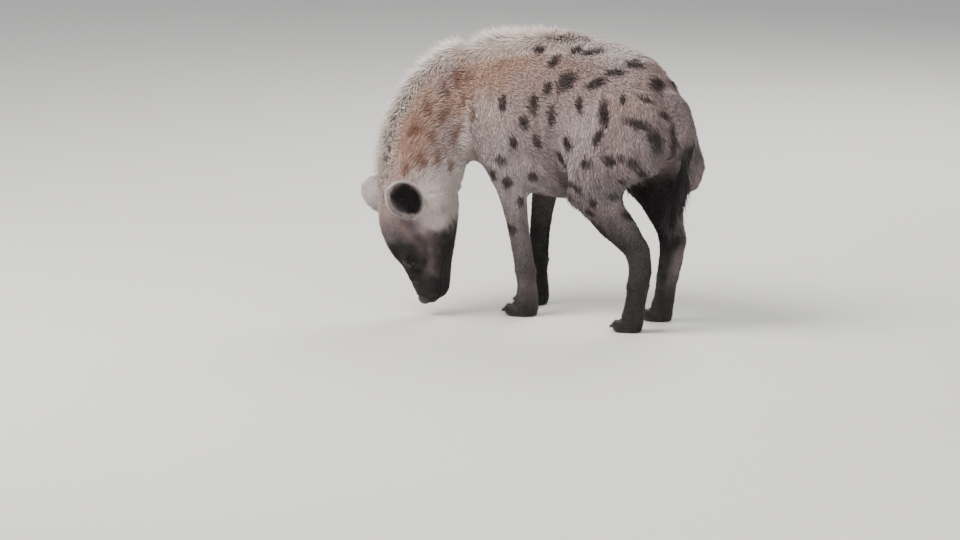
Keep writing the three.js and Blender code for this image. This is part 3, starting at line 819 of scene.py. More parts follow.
def eyeFrame(side):
    centre = Vector(fromHead(np.multiply(drawn["eye"], (1, side, 1))))
    gaze = Vector(np.multiply(eyeSettings["gaze"], (1, side, 1)) @ headAxes).normalized()
    ahead = Vector(headForward)
    ahead = (ahead - gaze * ahead.dot(gaze)).normalized()
    turn = Matrix((ahead, gaze.cross(ahead), gaze)).transposed().to_4x4()
    return centre, gaze, Matrix.Translation(centre) @ turn


# For points round an eye: how far off they are, their place in the lids' gap (1 is its edge), if before it
def aroundEye(points, side):
    centre, gaze, place = eyeFrame(side)
    local = (points - np.array(centre)) @ np.array(place.to_3x3())
    away = np.linalg.norm(local, axis=1)
    polar = np.degrees(np.arccos(np.clip(local[:, 2] / np.maximum(away, 1e-6), -1, 1)))
    return away, polar / gapAngle(np.arctan2(local[:, 1], local[:, 0]), side), local[:, 2] > 0


# The skin round an eye: it closes in on the ball, and inside the gap between the lids it lies behind the ball
def openEye(piece, side):
    points, centre = pointsOf(piece.data), np.array(eyeFrame(side)[0])
    away, share, before = aroundEye(points, side)
    reach = drawn["eyeRadius"] / 1000
    over = before & (away < reach * 2.4)
    lidded = reach + eyeSettings["lidSpare"] + eyeSettings["skinSpare"]
    target = lidded + np.maximum(away - lidded, 0) * 0.25
    outer = mixed(np.maximum(away, lidded), smooth(3.2, 1.0, share) * over, target)
    outer = mixed(outer, smooth(1.12, 0.86, share) * over, reach - eyeSettings["behind"])
    moved = np.where(over, outer, away) / np.maximum(away, 1e-6)
    movePoints(piece.data, centre + (points - centre) * moved[:, None])


sculptFace(headSkin)
say("face")

feet = [n for n in fleshNodes if partOf(n) in ("forefoot", "hindfoot")]
elsewhere = (*feet, "head", "ear_left", "ear_right", "tail_tuft")
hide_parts(*[n for n in fleshNodes if n not in elsewhere])
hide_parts("head", "ear_left", "ear_right")
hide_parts(*feet)


def unwrapped(piece):
    for other in bpy.context.selected_objects:
        other.select_set(False)
    bpy.context.view_layer.objects.active = piece
    piece.select_set(True)
    bpy.ops.object.mode_set(mode="EDIT")
    bpy.ops.mesh.select_all(action="SELECT")
    bpy.ops.uv.smart_project(angle_limit=math.radians(72), island_margin=0.002)
    bpy.ops.object.mode_set(mode="OBJECT")
    piece.data.uv_layers[0].name = "OFBake"


for piece in (bodySkin, headSkin, pawSkin):
    unwrapped(piece)
say("unwrapped")


# Soft irregular waves over space, from a few seeded directions; about -1 to 1
def waves(points, size, seed, count=7):
    rng = np.random.default_rng(seed)
    total = np.zeros(len(points))
    for _ in range(count):
        way = unit(rng.normal(size=3)) / (size * rng.uniform(0.7, 1.5))
        total += np.sin(points @ way * 2 * math.pi + rng.uniform(0, 6.3))
    return total / math.sqrt(count)


# Spots of the side that the photo shows: pixel, half width and height in pixels, tilt in degrees
spotsSeen = [
    (564, 80, 7, 7, 0), (545, 87, 3.2, 6, 8), (531, 103, 3.8, 8, 10), (521, 120, 3.2, 6.5, 0),
    (501, 101, 3, 6, 0), (549, 115, 2.8, 9, -4), (577, 103, 3, 6.5, 24), (604, 111, 4.4, 9, 28),
    (593, 83, 8, 4, 8), (612, 72, 7, 3.4, -6), (632, 63, 7, 3, -24), (575, 48, 4, 3.4, 0),
    (592, 49, 8, 3.2, -10), (643, 97, 6, 2, -30), (637, 121, 11, 3.6, -24), (654, 138, 5, 10, 30),
    (672, 138, 3, 19, 4), (693, 145, 2.6, 6, 0), (586, 160, 4.2, 4.2, 0), (608, 157, 6, 4.6, -10),
    (620, 155, 3, 3, 0), (631, 160, 3.6, 5, 10), (571, 180, 3, 3, 0), (577, 186, 2.8, 2.8, 0),
    (567, 198, 4.5, 4.5, 0), (592, 200, 3, 3.4, 0), (588, 210, 3, 3, 0), (612, 194, 4.2, 3.2, 0),
    (640, 173, 4, 4, 0), (602, 233, 4.4, 4.4, 0), (577, 220, 3, 4, 0), (500, 158, 3.6, 4, 0),
    (492, 172, 3.4, 4.4, 0), (507, 180, 4, 5, 0), (511, 227, 3.4, 4.4, 0), (505, 241, 3, 4, 0),
    (520, 200, 3, 4, 0), (655, 82, 6, 5, -30), (540, 48, 4, 4, 0), (552, 60, 4, 5, 0), (622, 98, 3, 4, 20),
    (662, 112, 4, 3, -30), (598, 134, 4, 5, 10), (566, 140, 3.4, 5, 0), (534, 140, 3.4, 5, 0),
    (620, 178, 3, 3, 0), (560, 155, 3.2, 4, 0), (640, 200, 3, 4, 0), (626, 214, 3, 3, 0),
    (616, 252, 3, 3.4, 0), (532, 175, 3, 4, 0), (513, 140, 3, 5, 0),
]
# Brown strokes and patches of the neck, in the same way
strokesSeen = [
    (452, 78, 3.6, 7, 14), (463, 75, 2.6, 5, 10), (459, 102, 1.6, 8, 6), (438, 117, 3, 8, -24),
    (451, 133, 3, 9, -24), (412, 135, 4, 4, 0), (416, 165, 4, 6, 10), (404, 175, 3, 5, 0),
    (427, 140, 2.4, 5, 0), (440, 90, 2.4, 6, 14), (470, 112, 2.6, 7, 4), (424, 112, 3, 6, 14),
    (433, 160, 2.6, 6, -8), (448, 170, 2.4, 5, -8),
]


# How much larger spots are laid than they look in the photo, and the free ones: turn, half width and height
spotSettings = {"wider": 1.35, "higher": 1.28, "turn": 0.7, "wide": (0.008, 0.013), "high": (0.010, 0.022)}


class SpotBook:
    def __init__(self, skins):
        self.trees = []
        for skin in skins:
            bm = bmesh.new()
            bm.from_mesh(skin.data)
            self.trees.append(BVHTree.FromBMesh(bm))
            bm.free()
        self.spots, self.strokes = [], []

    def hit(self, px, py):
        ray = rayOf(px, py)
        best = None
        for tree in self.trees:
            found = tree.ray_cast(cameraAt, ray)
            if found[0] is not None and (best is None or found[3] < best[3]):
                best = found
        return best

    def seen(self, rows, book):
        for px, py, wide, high, tilt in rows:
            wide, high = wide * spotSettings["wider"], high * spotSettings["higher"]
            found = self.hit(px, py)
            if found is None:
                continue
            centre, normal = np.array(found[0]), np.array(found[1])
            a = math.radians(tilt)
            ends = []
            c, s = math.cos(a), math.sin(a)
            for dx, dy in ((wide * c, -wide * s), (high * s, high * c)):
                way = np.array(screenRight * dx - screenUp * dy) / shot["pixelsPerMetre"]
                ray = np.array(rayOf(px, py))
                ends.append(way - ray * (way @ normal) / min(ray @ normal, -0.45))
            book.append((centre, ends[0], ends[1], normal))

    def scattered(self, points, normals, count, apart, seed):
        rng = np.random.default_rng(seed)
        kept = [s[0] for s in self.spots]
        toCamera = unit(np.array(cameraAt) - points)
        free = np.flatnonzero((normals * toCamera).sum(1) < 0.12)
        made = 0
        for i in rng.permutation(free):
            place = points[i]
            if made >= count:
                break
            if kept and distance(np.array(kept), place).min() < apart * rng.uniform(0.8, 1.3):
                continue
            side = unit(np.cross(normals[i], (0, 0, 1)) + 1e-6)
            up = np.cross(side, normals[i])
            a = rng.uniform(-spotSettings["turn"], spotSettings["turn"])
            wide, high = rng.uniform(*spotSettings["wide"]), rng.uniform(*spotSettings["high"])
            self.spots.append((place, (side * math.cos(a) + up * math.sin(a)) * wide,
                               (up * math.cos(a) - side * math.sin(a)) * high, normals[i]))
            kept.append(place)
            made += 1

    def field(self, points, book, soft=0.35):
        total = np.zeros(len(points))
        rough = waves(points, 0.012, 5) * 0.16 + waves(points, 0.005, 6) * 0.1
        for centre, a, b, normal in book:
            reach = max(np.linalg.norm(a), np.linalg.norm(b)) * 1.7 + 0.004
            near = np.flatnonzero(np.abs(points - centre).max(1) < reach)
            if not len(near):
                continue
            d = points[near] - centre
            x, y = d @ a / (a @ a), d @ b / (b @ b)
            z = d @ normal / 0.03
            r = np.sqrt(x * x + y * y + z * z) + rough[near]
            total[near] = np.maximum(total[near], smooth(1 + soft, 1 - soft, r))
        return total


spotBook = SpotBook([bodySkin, headSkin])
spotBook.seen(spotsSeen, spotBook.spots)
spotBook.seen(strokesSeen, spotBook.strokes)
bodyPoints, bodyNormals = pointsOf(bodySkin.data), normalsOf(bodySkin.data)
bodyParts = finder.partsAt(bodyPoints)
spotted = np.isin(bodyParts, ("torso", "thigh", "upper_arm")) & (toDrawn(bodyPoints)[:, 2] > 330)
spotBook.scattered(bodyPoints[spotted], bodyNormals[spotted], 95, 0.052, 21)
legged = np.isin(bodyParts, ("forearm", "shank", "thigh")) & (toDrawn(bodyPoints)[:, 2] > 200)
spotBook.scattered(bodyPoints[legged], bodyNormals[legged], 34, 0.036, 22)
say(f"{len(spotBook.spots)} spots")


# Patches of each colour: the amount, and what it is multiplied by. Names are the coat's parts or come from
# placesOf; a name with two numbers counts 0 at the first and 1 at the second
coatPatches = {
    "pale": [
        # Pale mane, lightened further as painted light on the top of the neck and the withers
        (0.92, "neck", "mane", "flecked"), (-0.6, "neck", "mane", "flecked", ("hx", -110, -10)),
        (0.6, "neck", "throat", "flecked"), (0.62, "trunk", ("fromCrest", 0.10, 0.02), ("z", 590, 680)),
        (0.24, "torso", ("z", 420, 330)), (0.3, "thigh", ("x", 90, 10), ("z", 300, 380)),
        # The right forearm is left out of the pale, as part of its painted shade
        (0.22, "upper_arm"), (0.3, "forearm", ("z", 190, 330), "notShadedRight"),
        (0.44, "cheek"), (0.4, "ear"), (-0.7, "ear", "hollow"),
    ],
    "warm": [
        (0.76, "nape", ("fromCrest", -0.03, 0.045), ("fromCrest", 0.22, 0.12), "notCheek", "mottled"),
        (0.26, "trunk", ("z", 430, 640), "mottled"), (0.45, "head", ("hx", 80, 30), ("hz", 24, 64)),
        (0.4, "neck", "mane", ("hx", -120, -40)),
    ],
    "russet": [
        (0.85, "strokes"), (0.34, "neck", ("mottle", 0.2, 1.2), "notMane", "notThroat"),
        (0.7, "head", ("hx", 34, 70), ("hz", 24, 70)),
    ],
    "grey": [
        (0.55, "head", ("hx", 40, 120), "notCheek"), (0.4, "head", ("hx", -10, 20), ("hz", 30, 60)),
        (0.2, "trunk", ("broad", -0.4, 1)), (0.34, "fore", ("z", 560, 380)), (0.6, "thigh", ("z", 520, 340)),
        (0.42, "hind", ("x", 130, 215)), (0.25, "ear"), (0.45, "tail"), (0.55, "lowHind"), (0.55, "lowFore"),
    ],
    "dark": [
        # Painted shade on the right foreleg, by the right mask
        (1, "head", "face"), (0.42, "lowHind"), (0.5, "lowHind", ("z", 330, 220)), (0.6, "right"),
        # Painted light on the lit rear edge of the right hind leg and thigh
        (-0.6, "lowHind", "litRearRightEdge"), (-0.6, "thigh", "litRearRightEdge"), (0.15, "lowFore", ("z", 340, 260)),
        (0.42, "lowFore", ("z", 290, 140)), (0.3, "lowFore", ("z", 90, 20)), (0.22, "tail"),
        # Painted shade on the inner sides of the hind legs; in the ear's hollow, dark skin with painted shade
        # deeper in
        (1, "tail", ("z", 530, 440)), (0.85, "hindLeg", "inner"), (1, "ear", "hollow"),
        # Painted shade: low on the rear flank, low between the hind legs, and under the chest behind the
        # elbows
        (0.3, "trunk", ("z", 400, 330), ("x", 150, 60)),
        (0.5, "trunk", ("aside", 60, 20), ("z", 350, 320), "rear"),
        (0.4, "trunk", ("down", 0.2, 0.7), ("x", -140, -100), ("x", -20, -60)),
        # Low on the neck: darker fur, with painted shade under the throat
        (0.5, "neck", ("fromCrest", 0.2, 0.24), ("fine", -0.2, 0.3)),
    ],
}


def placesOf(points, normals, masks):
    x, y, z = toDrawn(points).T
    hx, _, hz = toHead(points).T
    on = dict(zip(coatRules, masks.T))
    broad, fine = waves(points, 0.11, 11), waves(points, 0.03, 12)
    streaks = waves(points * (1, 1, 0.35), 0.02, 13)
    fromCrest, along, _ = alongLine(points, crestLine)
    mane, throat = smooth(0.064, 0.012, fromCrest), smooth(0.15, 0.22, fromCrest)
    # The right foreleg and the lower right upper arm, which take painted shade
    right = smooth(-10, 30, y) * (on["forearm"] + on["forefoot"] + on["upper_arm"] * smooth(430, 380, z))
    cheek = (on["head"] + on["neck"] * smooth(-110, -30, hx)) * smooth(-100, -30, hx) * smooth(44, -6, hz)
    cheek *= smooth(126, 84, hx + 0.3 * (hz + 20) + 5 * fine + 5 * streaks)

    # The dark face: eyes and nose, the mask with a paler streak along the side of the muzzle that is a
    # painted highlight, and the crown
    fromEye = distance(mirroredHead(points), (176, 36, 41))
    upper = smooth(175, 110, hx)
    muzzleSideHighlight = np.exp(-((hz + 4 - 14 * upper + 3 * fine) / (16 + 12 * upper)) ** 2) * smooth(240, 200, hx)
    mask = smooth(82, 128, hx - 0.15 * (hz - 20) + 5 * fine + 2 * streaks)
    face = np.maximum(0.97 * smooth(190, 232, hx + 5 * fine), 0.98 * smooth(52, 26, fromEye + 2 * fine))
    face = np.maximum(face, mask * (0.92 - 0.50 * muzzleSideHighlight + 0.05 * smooth(36, 62, hz)))
    face = np.maximum(face, 0.2 * smooth(60, 100, hx) * smooth(30, 70, hz))

    # Where the right hind leg faces back: painted light
    litRearRightEdge = smooth(0.1, 0.6, normals[:, 0]) * smooth(10, 40, y) * smooth(60, 150, z)
    # Painted shade on the inner sides of the hind legs, where they face each other
    inner = smooth(66, 24, np.abs(y)) * smooth(440, 350, z) * smooth(-60, 40, x)
    facingInLegShade = smooth(0.15, 0.6, -normals[:, 1] * np.sign(y)) * smooth(500, 400, z) * smooth(-40, 40, x)
    return {
        **on, "x": x, "z": z, "hx": hx, "hz": hz, "fromCrest": fromCrest, "broad": broad, "fine": fine,
        "streaks": streaks, "aside": np.abs(y), "down": -normals[:, 2], "rear": x > 60,
        "trunk": on["torso"] + on["thigh"] + on["upper_arm"], "fore": on["torso"] + on["upper_arm"],
        "hind": on["torso"] + on["thigh"], "hindLeg": on["thigh"] + on["shank"],
        "nape": on["neck"] + (on["torso"] + on["upper_arm"]) * smooth(0.98, 0.56, along),
        "lowHind": on["hindfoot"] + on["shank"], "lowFore": on["forefoot"] + on["forearm"],
        "mane": mane, "notMane": 1 - mane, "throat": throat, "notThroat": 1 - throat,
        "cheek": cheek, "notCheek": 1 - cheek, "right": right, "notShadedRight": 1 - right, "face": face,
        "flecked": 1 + 0.12 * fine, "mottle": broad + 0.6 * streaks,
        "mottled": 1 + 0.45 * broad + 0.2 * streaks, "litRearRightEdge": litRearRightEdge,
        "inner": np.maximum(inner, facingInLegShade) * (1 - 0.5 * litRearRightEdge),
        "hollow": earInside(points, normals), "strokes": spotBook.field(points, spotBook.strokes, 0.5),
    }


def laid(patches, places):
    total = 0
    for amount, *factors in patches:
        for factor in factors:
            name, *ends = [factor] if isinstance(factor, str) else factor
            amount = amount * (smooth(*ends, places[name]) if ends else places[name])
        total = total + amount
    return total


# How much of each colour a place of the coat takes, from 0 to 1
def markings(points, normals, masks):
    places = placesOf(points, normals, masks)
    fields = {name: laid(patches, places) for name, patches in coatPatches.items()}
    fields["grey"] *= 1 - 0.3 * places["streaks"]
    spot = spotBook.field(points, spotBook.spots) * (0.96 + 0.1 * places["fine"]) * (1 - 0.4 * places["neck"])
    fields["spot"] = spot * smooth(0.016, 0.046, places["fromCrest"])
    return {name: np.clip(value, 0, 1) for name, value in fields.items()}


# For points on an ear: the way along it to the tip, across it to the inner edge, and how far they face out
def earPlace(points, normals):
    found = []
    for side in (1, -1):
        local, axes, root = earLocal(points, side)
        found.append((local[:, 0], local[:, 1] * side, normals @ (axes[2] @ headAxes)))
    return [np.where(toHead(points)[:, 1] > 0, left, right) for left, right in zip(*found)]


# Dark skin inside the ear, with painted shade growing deeper into the hollow
def earInside(points, normals):
    along, across, facing = earPlace(points, normals)
    rim = np.hypot((along - earDrawn["middle"][0]) / earDrawn["radii"][0], across / earDrawn["radii"][1])
    hollow = smooth(100, 66, along) * (0.35 + 0.65 * smooth(36, 12, across)) * smooth(1.02, 0.86, rim)
    return smooth(0.0, 0.6, facing) * hollow


def putAttributes(mesh, fields):
    for name, value in fields.items():
        made = mesh.attributes.new(name, "FLOAT", "POINT")
        made.data.foreach_set("value", np.ascontiguousarray(value, np.float32))


# Tufts: thin three-sided blades, bent from the way out of the skin towards the lie of the coat
tuftSettings = {
    "sunk": 0.0012, "mostFaces": 195000, "patch": 0.003, "lowest": 0.0004, "middle": 0.82, "thick": 0.4,
    "long": (0.7, 1.2), "wide": (0.75, 1.2), "lift": (0.4, 1.8),
    "bent": [(0, 2, 1), (0, 1, 4), (0, 4, 3), (1, 2, 5), (1, 5, 4), (2, 0, 3), (2, 3, 5), (3, 4, 6),
             (4, 5, 6), (5, 3, 6)],
    "straight": [(0, 2, 1), (0, 1, 3), (1, 2, 3), (2, 0, 3)],
    "spread": [(-1, -1), (1, -1), (0, -1), (-1, 0), (1, 0), (0, 0)],
}


class Fleece:
    def __init__(self, skin, coat):
        self.coat = coat
        mesh = skin.data
        mesh.calc_loop_triangles()
        tris = np.empty(len(mesh.loop_triangles) * 3, np.int32)
        mesh.loop_triangles.foreach_get("vertices", tris)
        self.tris = tris.reshape(-1, 3)
        loops = np.empty(len(mesh.loop_triangles) * 3, np.int32)
        mesh.loop_triangles.foreach_get("loops", loops)
        uv = np.empty(len(mesh.loops) * 2, np.float32)
        mesh.uv_layers["OFBake"].data.foreach_get("uv", uv)
        self.uv = uv.reshape(-1, 2)[loops.reshape(-1, 3)]
        self.points = pointsOf(mesh)
        a, b, c = (self.points[self.tris[:, k]] for k in range(3))
        self.area = np.linalg.norm(np.cross(b - a, c - a), axis=1) / 2

    def roots(self, keep, seed):
        rng = np.random.default_rng(seed)
        apart = self.coat.apart[self.tris].mean(1) / 1000
        want = self.area / apart ** 2 * keep[self.tris].mean(1)
        total = np.cumsum(want)
        count = int(total[-1])
        picks = (np.arange(count) + rng.uniform(0.05, 0.95, count)) * total[-1] / count
        tri = np.minimum(np.searchsorted(total, picks), len(want) - 1)
        share = rng.dirichlet((1, 1, 1), count)
        return tri, share

    def blend(self, values, tri, share):
        corners = np.asarray(values, float)[self.tris[tri]]
        return (corners * (share if corners.ndim == 2 else share[:, :, None])).sum(1)


def directed(lie, out, angle):
    return lie * np.cos(angle)[:, None] + out * np.sin(angle)[:, None]


def growTufts(name, fleece, keep, seed, bent=True, stiff=0.35, wobble=0.2):
    rng = np.random.default_rng(seed)
    tri, share = fleece.roots(keep, seed)
    coat, blend = fleece.coat, lambda values: fleece.blend(values, tri, share)
    root, out, lie = blend(fleece.points), unit(blend(coat.out)), blend(coat.lie)
    lie = unit(lie - out * (lie * out).sum(1)[:, None])
    count = len(root)
    turn = waves(root, 0.045, 31) * wobble + rng.normal(0, wobble, count)
    lie = directed(lie, np.cross(out, lie), turn)
    aside = np.cross(out, lie)
    lift = rng.normal(1 + waves(root, 0.03, 32) * 0.15, 0.2)
    lift = np.radians(blend(coat.lift)) * np.clip(lift, *tuftSettings["lift"])
    long = blend(coat.long) / 1000 * rng.uniform(*tuftSettings["long"], count)
    wide = blend(coat.wide) / 1000 * rng.uniform(*tuftSettings["wide"], count)
    tipLift = lift * (stiff + (1 - stiff) * blend(coat.stand)) if bent else lift
    first, second = (directed(lie, out, a) * (long * 0.5)[:, None] for a in (lift, tipLift))
    base = root - out * tuftSettings["sunk"]
    half, thick = aside * (wide / 2)[:, None], out * (wide * tuftSettings["thick"])[:, None]
    rings = []
    for at, size in (((base, 1.0), (base + first, tuftSettings["middle"])) if bent else ((base, 1.0),)):
        rings += [at - half * size, at + half * size, at + thick * size]
    points = np.stack([*rings, base + first + second], 1)
    points[:, :, 2] = np.maximum(points[:, :, 2], tuftSettings["lowest"])
    blade = np.array(tuftSettings["bent" if bent else "straight"])
    along = np.array([0, 0, 0, 0.55, 0.55, 0.55, 1.0] if bent else [0, 0, 0, 1.0])
    corners = len(along)
    patch = np.resize(tuftSettings["spread"], (corners, 2)) * tuftSettings["patch"] / 2
    patch[-1] = (0, tuftSettings["patch"] / 2)
    fields = markings(root, out, blend(coat.masks))
    fields["strand"] = rng.uniform(0, 1, count)
    glow = blend(coat.glow)[:, None]
    uv = (fleece.uv[tri] * share[:, :, None]).sum(1)
    order = np.lexsort((root[:, 0].round(3), coat.parts[fleece.tris[tri, 0]]))
    chunks = math.ceil(count * len(blade) / tuftSettings["mostFaces"])
    pieces = []
    for k in range(chunks):
        pick = order[k * count // chunks:(k + 1) * count // chunks]
        faces = (blade[None] + (np.arange(len(pick)) * corners)[:, None, None]).reshape(-1, 3)
        mesh = bladeMesh(f"{name}_{k + 1}", points[pick], faces)
        spread = (uv[pick][:, None] + patch[None]).reshape(-1, 2)
        spread = np.clip(spread[faces.ravel()], 0, 1).astype(np.float32)
        mesh.uv_layers.new(name="OFBake").data.foreach_set("uv", spread.ravel())
        putAttributes(mesh, {key: np.repeat(value[pick], corners) for key, value in fields.items()})
        # The place along each blade sets its painted root shade, which the painted mane light lifts
        putAttributes(mesh, {"along": (glow[pick] + (1 - glow[pick]) * along).ravel()})
        mesh.materials.append(coatLook)
        pieces.append(ridden(newObject(mesh.name, mesh)))
    say(f"{name}: {count} tufts, {count * len(blade)} triangles in {chunks} pieces")
    return pieces


def bladeMesh(name, points, faces):
    mesh = bpy.data.meshes.new(name)
    mesh.vertices.add(points.size // 3)
    mesh.vertices.foreach_set("co", points.astype(np.float32).ravel())
    mesh.loops.add(faces.size)
    mesh.loops.foreach_set("vertex_index", faces.astype(np.int32).ravel())
    mesh.polygons.add(len(faces))
    mesh.polygons.foreach_set("loop_start", np.arange(0, faces.size, 3, dtype=np.int32))
    smoothFaces(mesh)
    mesh.update(calc_edges=True)
    return mesh


def ridden(piece):
    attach(piece, "root")
    return piece


# The mane: its numbers along the crest, from the rump (0) to the head (1), and its reach from it in metres
maneSettings = {
    "long": ((0, 0.15, 0.55, 0.72, 0.86, 1), (20, 44, 50, 36, 27, 25)),
    "lift": ((0, 0.2, 0.6, 0.76, 0.9, 1), (48, 50, 50, 54, 34, 28)),
    "wide": 2.7, "apart": 2.55, "stand": 0.9, "glow": 0.85,
    "reach": (0.060, 0.010), "turning": (0.080, 0.018), "close": (0.068, 0.030),
}
tuftHair = {"below": (456, 436), "long": 92, "wide": 2.2, "apart": 1.25, "lift": 19}


def blendIn(coat, share, numbers):
    for key, value in numbers.items():
        setattr(coat, key, mixed(getattr(coat, key), share, value))


# The mane stands on the crest, points forwards, and turns round to the neck's lie over its side
def combMane(coat):
    fromCrest, share, way = alongLine(coat.points, crestLine)
    onBack = (coat.parts != "head") * (coat.parts != "ear") * smooth(1.0, 0.80, share)
    ridge = smooth(*maneSettings["reach"], fromCrest) * onBack * smooth(0.0, 0.10, share)
    turned = smooth(*maneSettings["turning"], fromCrest) * onBack
    coat.stand = ridge * maneSettings["stand"]
    # Painted light: the mane's hair is as bright at the root as at the tip, over the shade between its
    # standing locks
    coat.glow = maneSettings["glow"] * turned ** 0.6 * smooth(0.95, 0.7, share)
    long, lift = (np.interp(share, *maneSettings[key]) for key in ("long", "lift"))
    blendIn(coat, ridge, {"long": long, "lift": lift, "wide": maneSettings["wide"]})
    close = smooth(*maneSettings["close"], fromCrest) * turned ** 0.3
    blendIn(coat, close, {"apart": maneSettings["apart"]})
    coat.lift = coat.lift * (1 - 0.45 * 4 * turned * (1 - turned))
    away = unit(coat.points - crestPoint(share)) * smooth(0, 0.02, fromCrest)[:, None]
    forwards = smooth(0.90, 0.62, share)
    flow = coat.lie * (1 - turned)[:, None] + way * ((1 - 2 * forwards) * turned)[:, None]
    coat.lie = unit(flow + away * (turned * (0.4 + 3.2 * (1 - turned)))[:, None])


# At the hems the hair stands higher over the neighbour's, or is shorter by the head; the ears have a fringe
def combHems(piece, coat):
    if piece is pawSkin:
        hem = smooth(0.112, 0.126, coat.points[:, 2])
        coat.lift = coat.lift + 10 * hem
        coat.long = coat.long * (1 + 0.1 * hem)
    if piece is bodySkin:
        byHead = smooth(-80, 16, toHead(coat.points)[:, 0]) * smooth(150, 130, besideHead(coat.points))
        byEar = smooth(1.8, 1.15, earReach(coat.points))
        coat.long = coat.long * (1 - 0.55 * byEar) * (1 - 0.4 * byHead)
    coat.tuft = (coat.parts == "tail") * smooth(*tuftHair["below"], toDrawn(coat.points)[:, 2])
    blendIn(coat, coat.tuft, {key: tuftHair[key] for key in ("long", "wide", "apart", "lift")})
    along, across, facing = earPlace(coat.points, coat.out)
    edge = np.maximum(smooth(12, 32, across), smooth(70, 92, along))
    fringe = (coat.parts == "ear") * smooth(0.0, 0.5, facing) * edge
    coat.long = coat.long * (1 + 1.1 * fringe)
    coat.lift = coat.lift + 14 * fringe


for piece, coat in skins:
    coat.points = pointsOf(piece.data)
    combMane(coat)
    combHems(piece, coat)


def awayFromEyes(points):
    keep = np.ones(len(points))
    for side in (1, -1):
        away, share, _ = aroundEye(points, side)
        keep *= np.where(away < eyeSettings["bareWithin"], smooth(1.0, 1.22, share), 1)
    return keep


# Where each coat ends, from nothing to all of it: metres above the ground, mm of the head, reaches of the ear
coatEnds = {
    "bodyAbove": (0.112, 0.118), "bodyBefore": (14, 22), "besideHead": (146, 138), "pastEar": (1.2, 1.45),
    "headFrom": (-40, -28), "headTo": (286, 276), "pawsBelow": (0.154, 0.151), "pawsAbove": (0.001, 0.005),
}


def ending(name, values):
    return smooth(*coatEnds[name], values)


coatLook = coatFinish("coatHair").material
bodyFleece, headFleece, pawFleece = (Fleece(skin, coat) for skin, coat in skins)
tailHair = growTufts("tailTuft", bodyFleece, (bodyCoat.tuft > 0.5) * 1.0, 53, wobble=0.06,
                     stiff=-0.25)
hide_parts("tail_tuft")
places, alongHead = bodyCoat.points, toHead(bodyCoat.points)[:, 0]
nearHead = (distance(places, middleOfHead) < 0.22) * ending("besideHead", besideHead(places))
onBody = (bodyCoat.tuft <= 0.5) * ending("bodyAbove", places[:, 2]) * ending("pastEar", earReach(places))
onBody *= 1 - nearHead * ending("bodyBefore", alongHead)
growTufts("coatBody", bodyFleece, onBody, 51)
alongHead = toHead(headCoat.points)[:, 0]
onHead = ending("headFrom", alongHead) * ending("headTo", alongHead) * awayFromEyes(headCoat.points)
growTufts("coatHead", headFleece, onHead, 52, bent=False)
high = pawCoat.points[:, 2]
onPaws = ending("pawsBelow", high) * ending("pawsAbove", high)
growTufts("coatPaws", pawFleece, onPaws, 54, bent=False)

for piece, coat in skins:
    ridden(piece)
    fields = markings(coat.points, coat.out, coat.masks)
    # The skin takes the painted root shade, lifted under the mane by the painted mane light
    putAttributes(piece.data, {**fields, "strand": np.full(len(coat.points), 0.5), "along": coat.glow})
    piece.data.materials.append(coatFinish(piece.name + "Finish", True).material)
    smoothFaces(piece.data)
say("skins coloured")


# Eyes: a dark wet ball with a brown iris, under two lids that leave an almond-shaped gap
def makeEye(side, name):
    centre, gaze, place = eyeFrame(side)
    reach = drawn["eyeRadius"] / 1000
    bm = bmesh.new()
    bmesh.ops.create_uvsphere(bm, u_segments=40, v_segments=28, radius=reach)
    for v in bm.verts:
        v.co *= 1 + eyeSettings["bulge"] / reach * smooth(0.80, 1.0, v.co.z / reach)
    bmesh.ops.transform(bm, matrix=place, verts=bm.verts)
    return finishedPiece(bm, name, {"facing": lambda points: unit(points - centre) @ np.array(gaze)})


def makeLids(side, name):
    centre, gaze, place = eyeFrame(side)
    reach = drawn["eyeRadius"] / 1000 + eyeSettings["lidSpare"]
    bm = bmesh.new()
    bmesh.ops.create_uvsphere(bm, u_segments=64, v_segments=24, radius=1)
    back = [v for v in bm.verts if v.co.z < -0.08 or v.co.z > 0.999]
    bmesh.ops.delete(bm, geom=back, context="VERTS")
    for v in bm.verts:
        polar, turn = math.acos(max(-1, min(1, v.co.z))), math.atan2(v.co.y, v.co.x)
        share = max((polar - math.radians(7.5)) / math.radians(90), 0)
        gap = math.radians(gapAngle(turn, side))
        angle = gap + (math.radians(80) - gap) * share
        lip = 0.0004 * math.exp(-((share - 0.12) / 0.12) ** 2) - 0.0012 * smooth(0.3, 1.0, share)
        across = math.sin(angle)
        way = Vector((across * math.cos(turn), across * math.sin(turn), math.cos(angle)))
        v.co = way * (reach + lip)
    bmesh.ops.recalc_face_normals(bm, faces=bm.faces)
    bmesh.ops.solidify(bm, geom=bm.faces, thickness=-eyeSettings["lidThick"])
    bmesh.ops.recalc_face_normals(bm, faces=bm.faces)
    bmesh.ops.transform(bm, matrix=place, verts=bm.verts)
    return finishedPiece(bm, name, {})


def finishedPiece(bm, name, fields):
    mesh = meshFrom(bm, name)
    points = pointsOf(mesh)
    putAttributes(mesh, {key: value(points) for key, value in fields.items()})
    smoothFaces(mesh)
    return ridden(newObject(name, mesh))


def eyeFinish():
    f = Finish("eyeGloss", Roughness=0.07, Specular_IOR_Level=0.32)
    facing = f.attribute("facing")
    brown = f.mix(f.noise(900, 2.0, 0.6), linear("#150c07"), linear("#2a170c"))
    colour = f.mix(facing.step(0.76, 0.79), linear("#0c0908"), brown)
    f.colour(f.mix(facing.step(0.945, 0.96), colour, linear("#020202")))
    return f.material


def lidFinish():
    f = Finish("lidSkin", Roughness=0.5, Specular_IOR_Level=0.35)
    f.colour(f.mix(f.noise(300), linear("#0b0908"), linear("#171210")))
    f.bump(f.noise(700, 3.0), 0.4, 0.0006)
    return f.material


